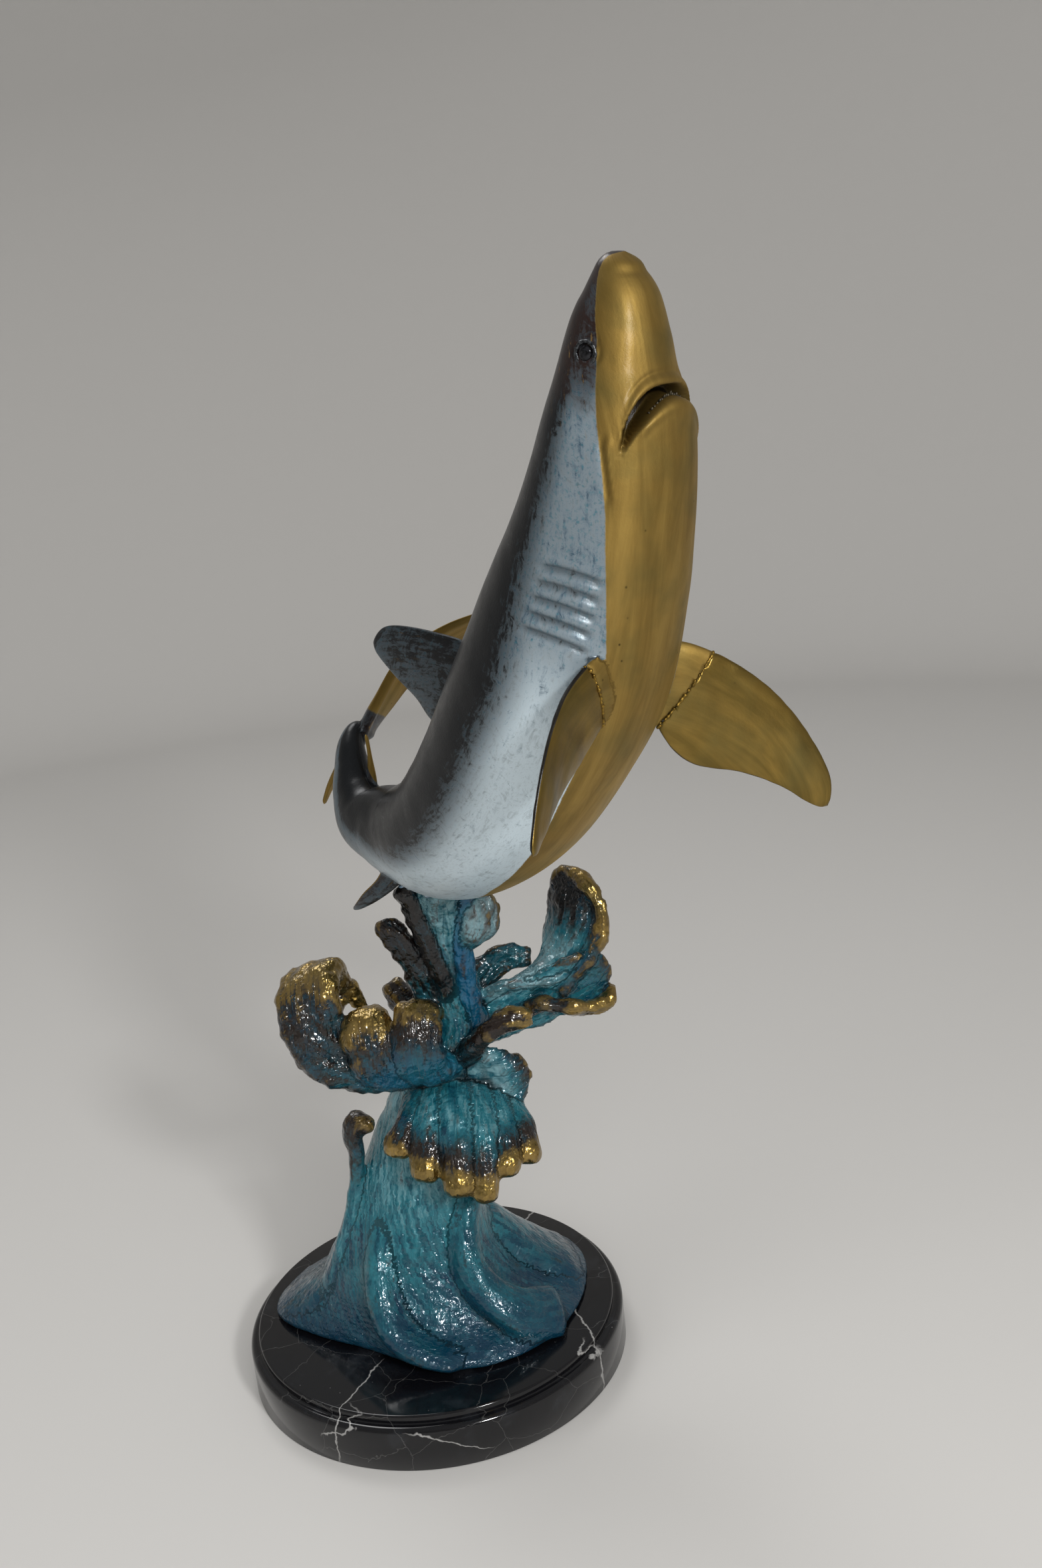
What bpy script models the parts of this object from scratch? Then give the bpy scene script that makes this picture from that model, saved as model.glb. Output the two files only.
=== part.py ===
# A leaping shark in cast bronze, carried by a breaking wave that is bolted to a round marble base.
# The origin is the middle of the base's underside, +Z is up and the build is in metres.
# The sizes below are millimetres. Heights in the tables are measured from the marble's top face.
import math

import bmesh
import bpy
from mathutils import Quaternion, Vector

for item in list(bpy.data.objects):
    bpy.data.objects.remove(item, do_unlink=True)

MM = 0.001
GAP = 0.3                 # clearance between pieces that touch
CUT_MARGIN = 1.0          # how far a cutter runs past the face that it starts from
SHARP_ANGLE = 30.0        # edges folded more than this stay crisp on turned pieces
BODY_SHARP_ANGLE = 40.0
WAVE_SHARP_ANGLE = 50.0

# Marble base
BASE_RADIUS = 165.0
WALL_HEIGHT = 38.0        # height of the outer wall, with its rounded upper edge
WALL_ROUND = 5.0
STEP_RISE = 7.0           # the raised disc that the wave stands on
STEP_INSET = 8.0
STEP_ROUND = 2.0
BASE_SEGMENTS = 64

# Fixings under the wave, one set at each stud
STUD_RADIUS = 4.0
STUD_GRIP = 16.0          # how far a stud is screwed into the bronze
STUD_CIRCLE = 62.0
STUD_COUNT = 3
STUD_FIRST_ANGLE = 30.0
BOSS_RADIUS = 10.0
BOSS_HEIGHT = 24.0
HOLE_CLEARANCE = 0.6
COUNTERBORE_RADIUS = 13.0
COUNTERBORE_DEPTH = 17.0
WASHER_RADIUS = 10.5
WASHER_THICKNESS = 2.0
NUT_WIDTH = 13.0          # across flats
NUT_HEIGHT = 6.5
NUT_PROUD = 2.5           # thread that stands out of the nut
FIXING_SEGMENTS = 16

# The shark's upright middle plane holds the base's axis and is turned this far from +X towards -Y
HEADING = 45.0
# Spine stations from the nose to the tail stock:
# forward, to the shark's left, height, half width, depth to the back, depth to the belly
SPINE = [
    (310.0, 0.0, 849.0, 1.0, 1.0, 1.0),
    (308.5, 0.0, 846.0, 11.0, 10.0, 10.5),
    (305.5, 0.0, 838.0, 17.5, 16.0, 16.5),
    (303.5, 0.0, 822.0, 25.5, 25.0, 25.0),
    (300.0, 0.0, 803.0, 32.0, 31.5, 31.5),
    (297.0, 0.0, 783.0, 37.5, 36.5, 36.0),
    (294.0, 0.0, 763.0, 43.5, 41.5, 45.0),
    (290.0, 0.0, 743.0, 49.0, 45.5, 51.5),
    (285.0, 0.0, 722.0, 52.5, 49.5, 54.5),
    (279.0, 0.0, 701.0, 56.0, 53.5, 57.0),
    (272.0, 0.0, 680.0, 59.0, 58.0, 59.5),
    (262.0, 0.0, 654.0, 63.5, 63.5, 63.0),
    (247.0, 0.0, 621.0, 68.0, 69.0, 68.0),
    (228.0, 0.0, 585.0, 71.0, 72.0, 71.0),
    (204.0, 0.0, 552.0, 71.0, 71.0, 71.0),
    (166.0, 0.0, 504.0, 68.0, 68.0, 68.0),
    (124.0, 0.0, 466.0, 61.0, 62.0, 60.0),
    (88.0, 0.0, 447.0, 52.0, 55.0, 50.0),
    (43.0, 4.0, 439.0, 40.0, 43.0, 38.0),
    (15.0, 5.0, 441.0, 33.0, 35.0, 33.0),
    (-12.0, 5.0, 447.0, 25.0, 27.5, 27.0),
    (-29.0, 10.0, 463.0, 18.0, 20.5, 21.0),
    (-39.0, 18.0, 480.0, 14.0, 16.0, 17.5),
    (-47.0, 26.0, 496.0, 11.0, 12.0, 13.0),
    (-51.0, 36.0, 507.0, 8.0, 8.0, 8.5),
    (-52.0, 46.0, 511.0, 4.5, 5.0, 5.0),
]
BODY_SQUARENESS = 2.15    # 2 is a true ellipse
HEAD_TWIST = -5.5         # degrees that the throat is rolled from the heading towards the shark's right
TWIST_LENGTH = 220.0      # distance behind the nose where the twist has died away
BODY_SEGMENTS = 28
BODY_RINGS = 46
NOSE_RINGS = 5            # closer rings over the rounded tip
NOSE_LENGTH = 12.0

# Mouth: two curves round the throat, given by where they start behind the nose,
# where they meet at the corners, how far round they reach and how square they are
UPPER_LIP = (70.0, 131.0, 55.0, 3.0)
LOWER_LIP = (83.0, 129.0, 53.0, 1.6)
MOUTH_DEPTH = 0.34        # share of the body's radius that the mouth is cut in
MOUTH_POINTS = 11
MOUTH_CORNER = 0.985      # the cut stops this near to the corners, where the lips would close to nothing
MOUTH_FLARE = 1.12        # share of the radius where the mouth's cutter ends, outside the skin

# Gill slits
GILL_FIRST = 183.0
GILL_PITCH = 10.4
GILL_COUNT = 5
GILL_FROM_ANGLE = 45.0
GILL_TO_ANGLE = 88.0
GILL_WIDTH = 3.4
GILL_DEPTH = 3.0
GILL_POINTS = 7
GILL_END_WIDTH = 0.35     # width at a slit's ends as a share of its middle

# Eyes, placed by distance behind the nose and angle round from the throat's middle
EYE_BACK = 57.5
EYE_ANGLE = 89.0
EYE_RADIUS = 4.8
EYE_HEIGHT = 2.6
EYE_RING_RADIUS = 7.2
EYE_RING_THICKNESS = 1.4
EYE_ROOT = 3.0            # how far the eye and its ring reach below the skin
EYE_POINTS = 12

# Fins: front edge, rear edge and thickness from the root to the tip.
# These two lie by the shark's own axes: forward, left, height. The pelvic one is mirrored.
DORSAL_FIN = [
    ((156.0, 0.0, 588.0), (118.0, 0.0, 522.0), 13.0),
    ((133.0, 0.0, 600.0), (88.0, 0.0, 536.0), 12.0),
    ((100.0, 0.0, 606.0), (72.0, 0.0, 553.0), 9.0),
    ((66.0, 0.0, 609.0), (52.0, 0.0, 568.0), 6.5),
    ((45.0, 0.0, 607.0), (37.0, 0.0, 581.0), 4.6),
    ((31.0, 0.0, 598.0), (29.0, 0.0, 590.0), 3.0),
]
PELVIC_FIN = [
    ((74.0, 24.0, 426.0), (34.0, 18.0, 424.0), 8.0),
    ((54.0, 26.0, 408.0), (26.0, 24.0, 408.0), 5.0),
    ((28.0, 27.0, 391.0), (10.0, 27.0, 394.0), 3.6),
    ((4.0, 26.0, 379.0), (-4.0, 25.0, 382.0), 3.0),
    ((-10.0, 23.0, 374.0), (-12.0, 22.0, 376.0), 2.4),
]
# These lie by the base's axes: across, back, height.
SECOND_DORSAL_FIN = [
    ((-4.0, 28.0, 476.0), (4.0, 12.0, 462.0), 8.0),
    ((0.0, 27.0, 484.0), (6.0, 14.0, 470.0), 6.0),
    ((1.0, 31.0, 497.0), (4.0, 22.0, 488.0), 3.4),
    ((0.0, 38.0, 511.0), (1.5, 32.0, 505.0), 3.0),
]
UPPER_TAIL_LOBE = [
    ((-12.0, 50.0, 498.0), (2.0, 72.0, 496.0), 10.0),
    ((-3.0, 56.0, 514.0), (5.0, 84.0, 502.0), 8.5),
    ((10.0, 62.0, 534.0), (22.0, 90.0, 519.0), 7.0),
    ((27.0, 66.0, 558.0), (38.0, 92.0, 535.0), 6.5),
    ((46.0, 66.0, 574.0), (60.0, 92.0, 553.0), 6.0),
    ((76.0, 66.0, 588.0), (88.0, 92.0, 569.0), 5.0),
    ((108.0, 72.0, 595.0), (116.0, 92.0, 582.0), 3.8),
    ((128.0, 86.0, 597.0), (130.0, 93.0, 592.0), 2.8),
]
LOWER_TAIL_LOBE = [
    ((-2.0, 58.0, 510.0), (2.0, 80.0, 500.0), 9.0),
    ((-18.0, 60.0, 496.0), (-10.0, 84.0, 486.0), 7.0),
    ((-31.0, 68.0, 477.0), (-25.0, 87.0, 469.0), 5.0),
    ((-42.0, 79.0, 458.0), (-38.0, 89.0, 454.0), 3.8),
    ((-50.0, 88.0, 440.0), (-48.0, 92.0, 438.0), 2.6),
]
RIGHT_PECTORAL = [
    ((192.0, -200.0, 606.0), (196.0, -190.0, 560.0), 15.0),
    ((182.0, -236.0, 610.0), (184.0, -224.0, 564.0), 13.0),
    ((170.0, -251.0, 604.0), (172.0, -240.0, 553.0), 10.5),
    ((156.0, -266.0, 592.0), (162.0, -254.0, 543.0), 9.0),
    ((146.0, -283.0, 577.0), (152.0, -268.0, 534.0), 7.5),
    ((138.0, -298.0, 559.0), (144.0, -282.0, 526.0), 6.2),
    ((130.0, -312.0, 534.0), (135.0, -300.0, 514.0), 4.8),
    ((124.0, -321.0, 508.0), (127.0, -317.0, 504.0), 3.2),
]
LEFT_PECTORAL = [
    ((206.0, -152.0, 604.0), (198.0, -150.0, 548.0), 15.0),
    ((243.0, -150.0, 595.0), (220.0, -150.0, 538.0), 13.0),
    ((264.0, -146.0, 585.0), (231.0, -148.0, 519.0), 10.0),
    ((288.0, -139.0, 568.0), (248.0, -141.0, 503.0), 7.5),
    ((313.0, -131.0, 543.0), (281.0, -134.0, 492.0), 6.0),
    ((334.0, -125.0, 511.0), (309.0, -127.0, 477.0), 5.0),
    ((348.0, -120.0, 478.0), (331.0, -121.0, 460.0), 4.0),
    ((348.0, -118.0, 457.0), (343.0, -118.0, 453.0), 3.0),
]
STUB_LENGTH = 14.0        # how far a pectoral's cast root stands out of the body before its weld seam
FIN_POINTS = 12
FIN_FRONT_FULLNESS = 1.25 # thickness near the front edge, falling to the rear one's
FIN_REAR_FULLNESS = 0.75

# Skirt of the wave on the marble: reach from the axis every 22.5 degrees, from +X round to +Y
SKIRT_REACH = [138, 145, 137, 128, 118, 118, 130, 142, 145, 112, 92, 92, 106, 119, 127, 132]
# Column stations: height, share of the skirt's outline, centre x and y, half width, half depth
COLUMN = [
    (0.3, 1.00, 0.0, 0.0, 62.0, 56.0),
    (5.0, 0.97, 0.0, 0.0, 62.0, 56.0),
    (11.0, 0.82, -4.0, -3.0, 63.0, 56.0),
    (22.0, 0.52, -8.0, -6.0, 64.0, 56.0),
    (42.0, 0.24, -12.0, -9.0, 66.0, 56.0),
    (70.0, 0.07, -12.0, -9.0, 63.0, 52.0),
    (105.0, 0.0, -5.0, -8.0, 57.0, 46.0),
    (140.0, 0.0, 4.0, -5.0, 52.0, 40.0),
    (175.0, 0.0, 13.0, -3.0, 44.0, 35.0),
    (205.0, 0.0, 22.0, -2.0, 35.0, 30.0),
    (238.0, 0.0, 35.0, -2.0, 29.0, 26.0),
    (272.0, 0.0, 50.0, -2.0, 25.0, 22.0),
    (310.0, 0.0, 52.0, -6.0, 17.0, 16.0),
    (350.0, 0.0, 50.0, -18.0, 14.0, 14.0),
    (385.0, 0.0, 50.0, -34.0, 17.0, 16.0),
    (408.0, 0.0, 56.0, -46.0, 21.0, 18.0),
]
COLUMN_SEGMENTS = 48
# Tongues of water: stations of x, y, height, half width, half thickness and cup,
# and the direction across the tongue at its root and at its tip
TONGUES = {
    "left_paw": ([
        (30, -4, 240, 22, 16, 0), (-4, -22, 242, 24, 17, -2), (-36, -32, 252, 26, 16, -3),
        (-60, -36, 270, 26, 15, -4), (-68, -34, 296, 26, 14, -4), (-66, -24, 316, 25, 14, -4),
        (-58, -8, 320, 22, 12, -2), (-52, 4, 306, 18, 9, 0)], (0.1, 0.75, 0.7), (1.0, -0.1, 0.1)),
    "middle_paw": ([
        (26, -8, 238, 18, 14, 0), (0, -34, 240, 19, 14, -2), (-16, -48, 256, 19, 13, -3),
        (-22, -48, 275, 18, 12, -3), (-22, -38, 288, 17, 11, 0), (-20, -26, 284, 14, 9, 0)],
        (0.9, 0.4, 0.2), (1.0, 0.0, 0.05)),
    "right_paw": ([
        (36, -6, 238, 20, 14, 0), (24, -34, 240, 20, 14, -2), (17, -48, 256, 19, 13, -3),
        (18, -48, 275, 18, 12, -4), (20, -38, 289, 17, 11, -2), (26, -26, 284, 13, 9, 0)],
        (1.0, 0.2, 0.0), (1.0, 0.1, -0.2)),
    "paw_spike": ([
        (-58, -4, 284, 12, 9, 0), (-50, 4, 296, 11, 8, 0), (-41, 6, 300, 9, 7, 0),
        (-33, 6, 290, 6, 5, 0), (-29, 5, 282, 4, 3.5, 0)], (1.0, 0.0, 0.4), (1.0, 0.3, 0.4)),
    "back_knob": ([
        (44, 4, 258, 12, 11, 0), (22, 16, 268, 11, 10, 0), (4, 24, 278, 12, 11, 0), (-2, 27, 284, 11, 10, 0)],
        (0.0, 0.3, 1.0), (0.0, 0.3, 1.0)),
    "finger": ([
        (48, -6, 268, 12, 9, 0), (33, -12, 290, 12, 8, 0), (22, -18, 322, 11.5, 6.5, 0),
        (12, -24, 348, 10, 6, 0), (4, -26, 362, 9.5, 8.5, 0)], (1.0, 0.1, 0.4), (0.8, 0.1, 0.6)),
    "ribbon": ([
        (52, -12, 272, 9, 6, 0), (42, -20, 312, 8, 5.5, 0), (33, -29, 352, 8, 5.5, 2),
        (25, -36, 384, 8.5, 5.5, 2), (22, -38, 396, 9, 5, 0)], (1.0, -0.3, 0.3), (1.0, -0.2, 0.2)),
    "spine_rib": ([
        (66, -14, 262, 9, 8, 0), (62, -20, 300, 8, 7, 0), (63, -27, 340, 7, 6.5, 0),
        (66, -34, 372, 8, 6, 0), (70, -40, 392, 10, 7, 0)], (1.0, 0.1, 0.0), (1.0, 0.1, 0.0)),
    "small_leaf": ([
        (60, -22, 340, 8, 6, 0), (72, -32, 350, 13, 6, 2), (79, -37, 362, 15, 5.5, 3),
        (81, -38, 377, 14, 5, 2), (76, -36, 387, 11, 5, 0)], (0.7, 0.2, -0.6), (1.0, 0.2, 0.1)),
    "back_leaf": ([
        (50, 8, 282, 12, 7, 0), (72, 18, 294, 13, 6, 2), (92, 24, 306, 12, 5, 3),
        (112, 28, 304, 9, 4, 0)], (0.2, 0.5, 0.9), (0.0, 0.3, 1.0)),
    "scoop": ([
        (48, -2, 262, 20, 11, 0), (82, 4, 276, 24, 9, 4), (112, 7, 290, 28, 7.5, 7),
        (134, 9, 310, 30, 7, 8), (147, 12, 334, 30, 6.5, 8), (152, 18, 356, 26, 6, 6),
        (152, 25, 369, 16, 5, 3)], (0.0, -0.3, 1.0), (1.0, -0.75, 0.15)),
    "scoop_rim": ([
        (136, -12, 287, 7, 5, 0), (152, -12, 303, 7, 5.5, 0), (171, -9, 323, 6.5, 5.5, 0),
        (177, -5, 343, 6, 5, 0), (172, 5, 364, 6, 5, 0), (163, 16, 374, 6, 5, 0),
        (154, 26, 376, 6, 5, 0), (146, 31, 370, 5, 4.5, 0)], (1.0, -0.5, 0.0), (1.0, -0.5, 0.0)),
    "right_web": ([
        (62, -4, 256, 16, 10, 0), (98, -6, 269, 20, 7, 2), (128, -8, 279, 21, 5.5, 3),
        (154, -9, 285, 19, 5, 3), (170, -10, 287, 13, 4.5, 0)], (0.0, -0.2, 1.0), (-0.25, -0.2, 1.0)),
    "web_ridge": ([
        (104, -14, 270, 6, 5, 0), (122, -22, 279, 7, 6, 0), (140, -24, 276, 6.5, 5.5, 0),
        (160, -22, 272, 6, 5, 0), (174, -16, 272, 6.5, 5.5, 0), (180, -10, 280, 5, 4.5, 0)],
        (0.0, -0.6, 1.0), (0.0, -0.6, 1.0)),
    "brown_curl": ([
        (50, -16, 236, 9, 8, 0), (60, -32, 252, 8.5, 8, 0), (74, -42, 269, 8.5, 7.5, 0),
        (92, -45, 280, 9, 8, 0), (105, -42, 279, 8.5, 7.5, 0)], (0.4, 0.6, -0.6), (0.0, 0.3, 1.0)),
    "ruffled_leaf": ([
        (34, -6, 212, 24, 14, 0), (60, -16, 216, 26, 9, 4), (80, -21, 218, 28, 6.5, 6),
        (93, -20, 221, 22, 5.5, 3), (98, -17, 223, 14, 5, 0)], (0.15, 0.1, 1.0), (-0.2, 0.1, 1.0)),
    "left_rib": ([
        (-92, -22, 10, 13, 10, 0), (-83, -26, 44, 11, 9, 0), (-66, -26, 92, 9, 8, 0),
        (-51, -24, 138, 8.5, 7.5, 0), (-46, -22, 164, 9, 8, 0), (-43, -21, 187, 12, 11, 0)],
        (1.0, 0.0, 0.3), (1.0, 0.0, 0.1)),
    "breaker_1": ([
        (22, -4, 206, 16, 12, 0), (10, -32, 207, 14, 9, -2), (-1, -48, 197, 12, 8, -2),
        (-8, -57, 184, 12, 10.5, 0)], (1.0, -0.4, 0.0), (1.0, -0.4, 0.2)),
    "breaker_2": ([
        (30, -4, 208, 18, 12, 0), (24, -38, 209, 16, 9, -2), (17, -64, 192, 13, 8, -2),
        (13, -75, 170, 13, 11, 0)], (1.0, -0.2, 0.0), (1.0, -0.2, 0.1)),
    "breaker_3": ([
        (38, -4, 208, 18, 12, 0), (40, -42, 211, 17, 9, -2), (41, -72, 190, 14, 8, -2),
        (39, -85, 159, 13, 11.5, 0)], (1.0, 0.0, 0.0), (1.0, 0.0, 0.1)),
    "breaker_4": ([
        (48, -4, 206, 18, 12, 0), (58, -42, 206, 16, 9, -2), (62, -72, 182, 13, 8, -2),
        (60, -85, 150, 11.5, 10.5, 0)], (1.0, 0.2, 0.0), (1.0, 0.2, 0.0)),
    "breaker_5": ([
        (52, -2, 202, 18, 12, 0), (72, -34, 200, 15, 9, -2), (80, -62, 182, 12, 8, -2),
        (79, -75, 166, 12, 10.5, 0)], (1.0, 0.4, 0.0), (1.0, 0.4, 0.0)),
    "breaker_6": ([
        (56, 0, 198, 18, 12, 0), (80, -26, 196, 15, 9, -2), (94, -48, 184, 12, 8, -2),
        (97, -60, 168, 12, 10.5, 0)], (0.9, 0.7, 0.0), (0.9, 0.6, -0.2)),
    "left_fold": ([
        (-40, -8, 84, 26, 16, 0), (-74, -6, 46, 30, 15, 0), (-104, 2, 22, 30, 11, 0),
        (-134, 10, 7, 20, 6, 0)], (0.3, 1.0, 0.0), (0.1, 1.0, 0.0)),
    "front_fold": ([
        (-34, -40, 104, 16, 12, 0), (-38, -62, 62, 17, 14, 0), (-30, -80, 34, 19, 13, 0),
        (-8, -92, 17, 22, 10, 0), (20, -100, 8, 20, 7, 0)], (1.0, 0.2, 0.0), (0.3, 1.0, 0.0)),
    "swirl_fold": ([
        (44, -34, 120, 12, 10, 0), (36, -52, 86, 13, 12, 0), (44, -66, 56, 16, 13, 0),
        (74, -74, 30, 22, 11, 0), (106, -58, 14, 26, 8, 0)], (1.0, 0.1, 0.0), (0.6, 0.8, 0.0)),
    "right_fold": ([
        (48, 10, 70, 26, 16, 0), (82, 20, 36, 34, 14, 0), (118, 30, 12, 36, 8, 0)],
        (-0.2, 1.0, 0.0), (-0.2, 1.0, 0.0)),
    "back_fold": ([
        (-10, 34, 110, 26, 14, 0), (-14, 62, 52, 34, 15, 0), (-22, 88, 20, 40, 10, 0)],
        (1.0, 0.0, 0.0), (1.0, 0.0, 0.0)),
}
TONGUE_POINTS = 16
RINGS_PER_SPAN = 5
TIP_TURNS = (25.0, 50.0, 72.0)    # degrees at which the rounded end of a tongue has its rings
TIP_BLUNTNESS = 0.35
WAVE_GRAIN = 3.6          # size of the cubes that the tongues are melted together on
SMOOTHING_PASSES = 3
WAVE_FACES = 5000
WELD_GAP = 0.45           # between the wave's top and the shark's skin, measured straight out of the skin
# The core inside the wave: height, centre x and y, half width, half depth
CORE = [
    (-6.0, -6.0, -4.0, 74.0, 64.0),
    (14.0, -8.0, -6.0, 58.0, 50.0),
    (60.0, -10.0, -8.0, 50.0, 42.0),
    (120.0, 0.0, -5.0, 42.0, 33.0),
    (170.0, 12.0, -3.0, 33.0, 25.0),
    (192.0, 18.0, -2.0, 16.0, 13.0),
]
CORE_SEGMENTS = 28
CORE_RINGS = 12

PLATEAU = WALL_HEIGHT + STEP_RISE


# Materials
def finish(name, colour, roughness, metallic):
    material = bpy.data.materials.new(name)
    material.use_nodes = True
    shader = material.node_tree.nodes["Principled BSDF"]
    shader.inputs["Base Color"].default_value = (*colour, 1.0)
    shader.inputs["Roughness"].default_value = roughness
    shader.inputs["Metallic"].default_value = metallic
    return material


marble = finish("black_marble", (0.02, 0.02, 0.024), 0.12, 0.0)
sea_patina = finish("sea_patina", (0.03, 0.19, 0.25), 0.3, 0.35)
skin_patina = finish("skin_patina", (0.25, 0.32, 0.36), 0.3, 0.4)
polished_bronze = finish("polished_bronze", (0.46, 0.33, 0.12), 0.3, 1.0)
steel = finish("zinc_plated_steel", (0.6, 0.6, 0.62), 0.35, 1.0)


# Coordinates
def from_base(x, y, height):
    return Vector((x * MM, y * MM, (PLATEAU + height) * MM))


def from_shark(forward, left, height):
    turn = math.radians(HEADING)
    x = forward * math.cos(turn) + left * math.sin(turn)
    y = left * math.cos(turn) - forward * math.sin(turn)
    return from_base(x, y, height)


# Smooth rows through a table's rows. The first three numbers of a row are its place.
def through(rows, places):
    knots = [0.0]
    for before, after in zip(rows, rows[1:]):
        knots.append(knots[-1] + math.dist(before[:3], after[:3]))
    last = len(rows) - 1
    slopes = []
    for i in range(len(rows)):
        low, high = max(i - 1, 0), min(i + 1, last)
        slopes.append([(b - a) / (knots[high] - knots[low]) for a, b in zip(rows[low], rows[high])])
    result = []
    for place in places:
        i = max(k for k in range(last) if knots[k] <= place or k == 0)
        span = knots[i + 1] - knots[i]
        t = min(max((place - knots[i]) / span, 0.0), 1.0)
        weights = (2 * t**3 - 3 * t**2 + 1, (t**3 - 2 * t**2 + t) * span,
                   3 * t**2 - 2 * t**3, (t**3 - t**2) * span)
        parts = zip(rows[i], slopes[i], rows[i + 1], slopes[i + 1])
        result.append([sum(w * v for w, v in zip(weights, values)) for values in parts])
    return result


def length_of(rows):
    return sum(math.dist(a[:3], b[:3]) for a, b in zip(rows, rows[1:]))


def evenly(rows, count):
    total = length_of(rows)
    return through(rows, [total * i / (count - 1) for i in range(count)])


# Meshes
def add_object(name, mesh, material):
    obj = bpy.data.objects.new(name, mesh)
    obj.data.materials.append(material)
    bpy.context.collection.objects.link(obj)
    return obj


def loft(name, rings, material):
    mesh = bmesh.new()
    loops = [[mesh.verts.new(point) for point in ring] for ring in rings]
    for low, high in zip(loops, loops[1:]):
        for i in range(len(low)):
            j = (i + 1) % len(low)
            mesh.faces.new((low[i], low[j], high[j], high[i]))
    for loop in (loops[0], loops[-1]):
        middle = mesh.verts.new(sum((v.co for v in loop), Vector()) / len(loop))
        for i in range(len(loop)):
            mesh.faces.new((loop[i], loop[(i + 1) % len(loop)], middle))
    bmesh.ops.recalc_face_normals(mesh, faces=mesh.faces)
    data = bpy.data.meshes.new(name)
    mesh.to_mesh(data)
    mesh.free()
    return add_object(name, data, material)


def apply_modifiers(obj):
    graph = bpy.context.evaluated_depsgraph_get()
    baked = bpy.data.meshes.new_from_object(obj.evaluated_get(graph), depsgraph=graph)
    obj.modifiers.clear()
    obj.data = baked


def combine(target, other, operation):
    step = target.modifiers.new("boolean", "BOOLEAN")
    step.operation = operation
    step.solver = "MANIFOLD"
    step.object = other
    apply_modifiers(target)
    bpy.data.objects.remove(other, do_unlink=True)


def shade(obj, angle):
    obj.data.shade_smooth()
    obj.data.set_sharp_from_angle(angle=math.radians(angle))


def grown(obj, distance):
    copy = obj.copy()
    copy.data = obj.data.copy()
    bpy.context.collection.objects.link(copy)
    step = copy.modifiers.new("grow", "DISPLACE")
    step.strength = distance * MM
    step.mid_level = 0.0
    apply_modifiers(copy)
    return copy


def clip(obj, point, normal):
    mesh = bmesh.new()
    mesh.from_mesh(obj.data)
    parts = mesh.verts[:] + mesh.edges[:] + mesh.faces[:]
    bmesh.ops.bisect_plane(mesh, geom=parts, plane_co=point, plane_no=normal, clear_outer=True)
    rim = [edge for edge in mesh.edges if edge.is_boundary]
    bmesh.ops.holes_fill(mesh, edges=rim, sides=0)
    bmesh.ops.triangulate(mesh, faces=[face for face in mesh.faces if len(face.verts) > 4])
    bmesh.ops.recalc_face_normals(mesh, faces=mesh.faces)
    mesh.to_mesh(obj.data)
    mesh.free()


# Keeps the body with the most faces, dropping crumbs left loose by a cut
def keep_largest(obj):
    mesh = bmesh.new()
    mesh.from_mesh(obj.data)
    left, bodies = set(mesh.verts), []
    while left:
        found, queue = set(), [left.pop()]
        while queue:
            vertex = queue.pop()
            found.add(vertex)
            near = [edge.other_vert(vertex) for edge in vertex.link_edges]
            queue += [other for other in near if other in left]
            left.difference_update(near)
        bodies.append(found)
    bodies.sort(key=len)
    for crumb in bodies[:-1]:
        bmesh.ops.delete(mesh, geom=list(crumb), context="VERTS")
    mesh.to_mesh(obj.data)
    mesh.free()


def upright_ring_point(x, y, radius, angle, height):
    return Vector((x + radius * math.cos(angle), y + radius * math.sin(angle), height)) * MM


# Turned pieces are rings of radius and height, in millimetres, about an upright line
def turned(name, profile, x, y, segments, material):
    turns = [math.tau * i / segments for i in range(segments)]
    rings = []
    for radius, height in profile:
        rings.append([upright_ring_point(x, y, radius, a, height) for a in turns])
    return loft(name, rings, material)


# The marble base
def rounded_edge(radius, top, rounding, steps=4):
    angles = [math.pi / 2 * i / steps for i in range(steps + 1)]
    return [(radius - rounding * (1 - math.cos(a)), top - rounding * (1 - math.sin(a))) for a in angles]


def stud_places():
    for i in range(STUD_COUNT):
        angle = math.radians(STUD_FIRST_ANGLE) + math.tau * i / STUD_COUNT
        yield STUD_CIRCLE * math.cos(angle), STUD_CIRCLE * math.sin(angle)


def make_base():
    step_radius = BASE_RADIUS - STEP_INSET
    profile = [(BASE_RADIUS, 0.0)]
    profile += rounded_edge(BASE_RADIUS, WALL_HEIGHT, WALL_ROUND)
    profile += [(step_radius, WALL_HEIGHT)]
    profile += rounded_edge(step_radius, PLATEAU, STEP_ROUND, 3)
    profile += [(step_radius * 0.5, PLATEAU)]
    base = turned("marble_base", profile, 0.0, 0.0, BASE_SEGMENTS, marble)
    for x, y in stud_places():
        hole = STUD_RADIUS + HOLE_CLEARANCE
        ends = [(hole, -CUT_MARGIN), (hole, PLATEAU + CUT_MARGIN)]
        through_hole = turned("cut", ends, x, y, FIXING_SEGMENTS, marble)
        combine(base, through_hole, "DIFFERENCE")
        pocket = [(COUNTERBORE_RADIUS, -CUT_MARGIN), (COUNTERBORE_RADIUS, COUNTERBORE_DEPTH)]
        combine(base, turned("cut", pocket, x, y, FIXING_SEGMENTS, marble), "DIFFERENCE")
    shade(base, SHARP_ANGLE)
    return base


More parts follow.
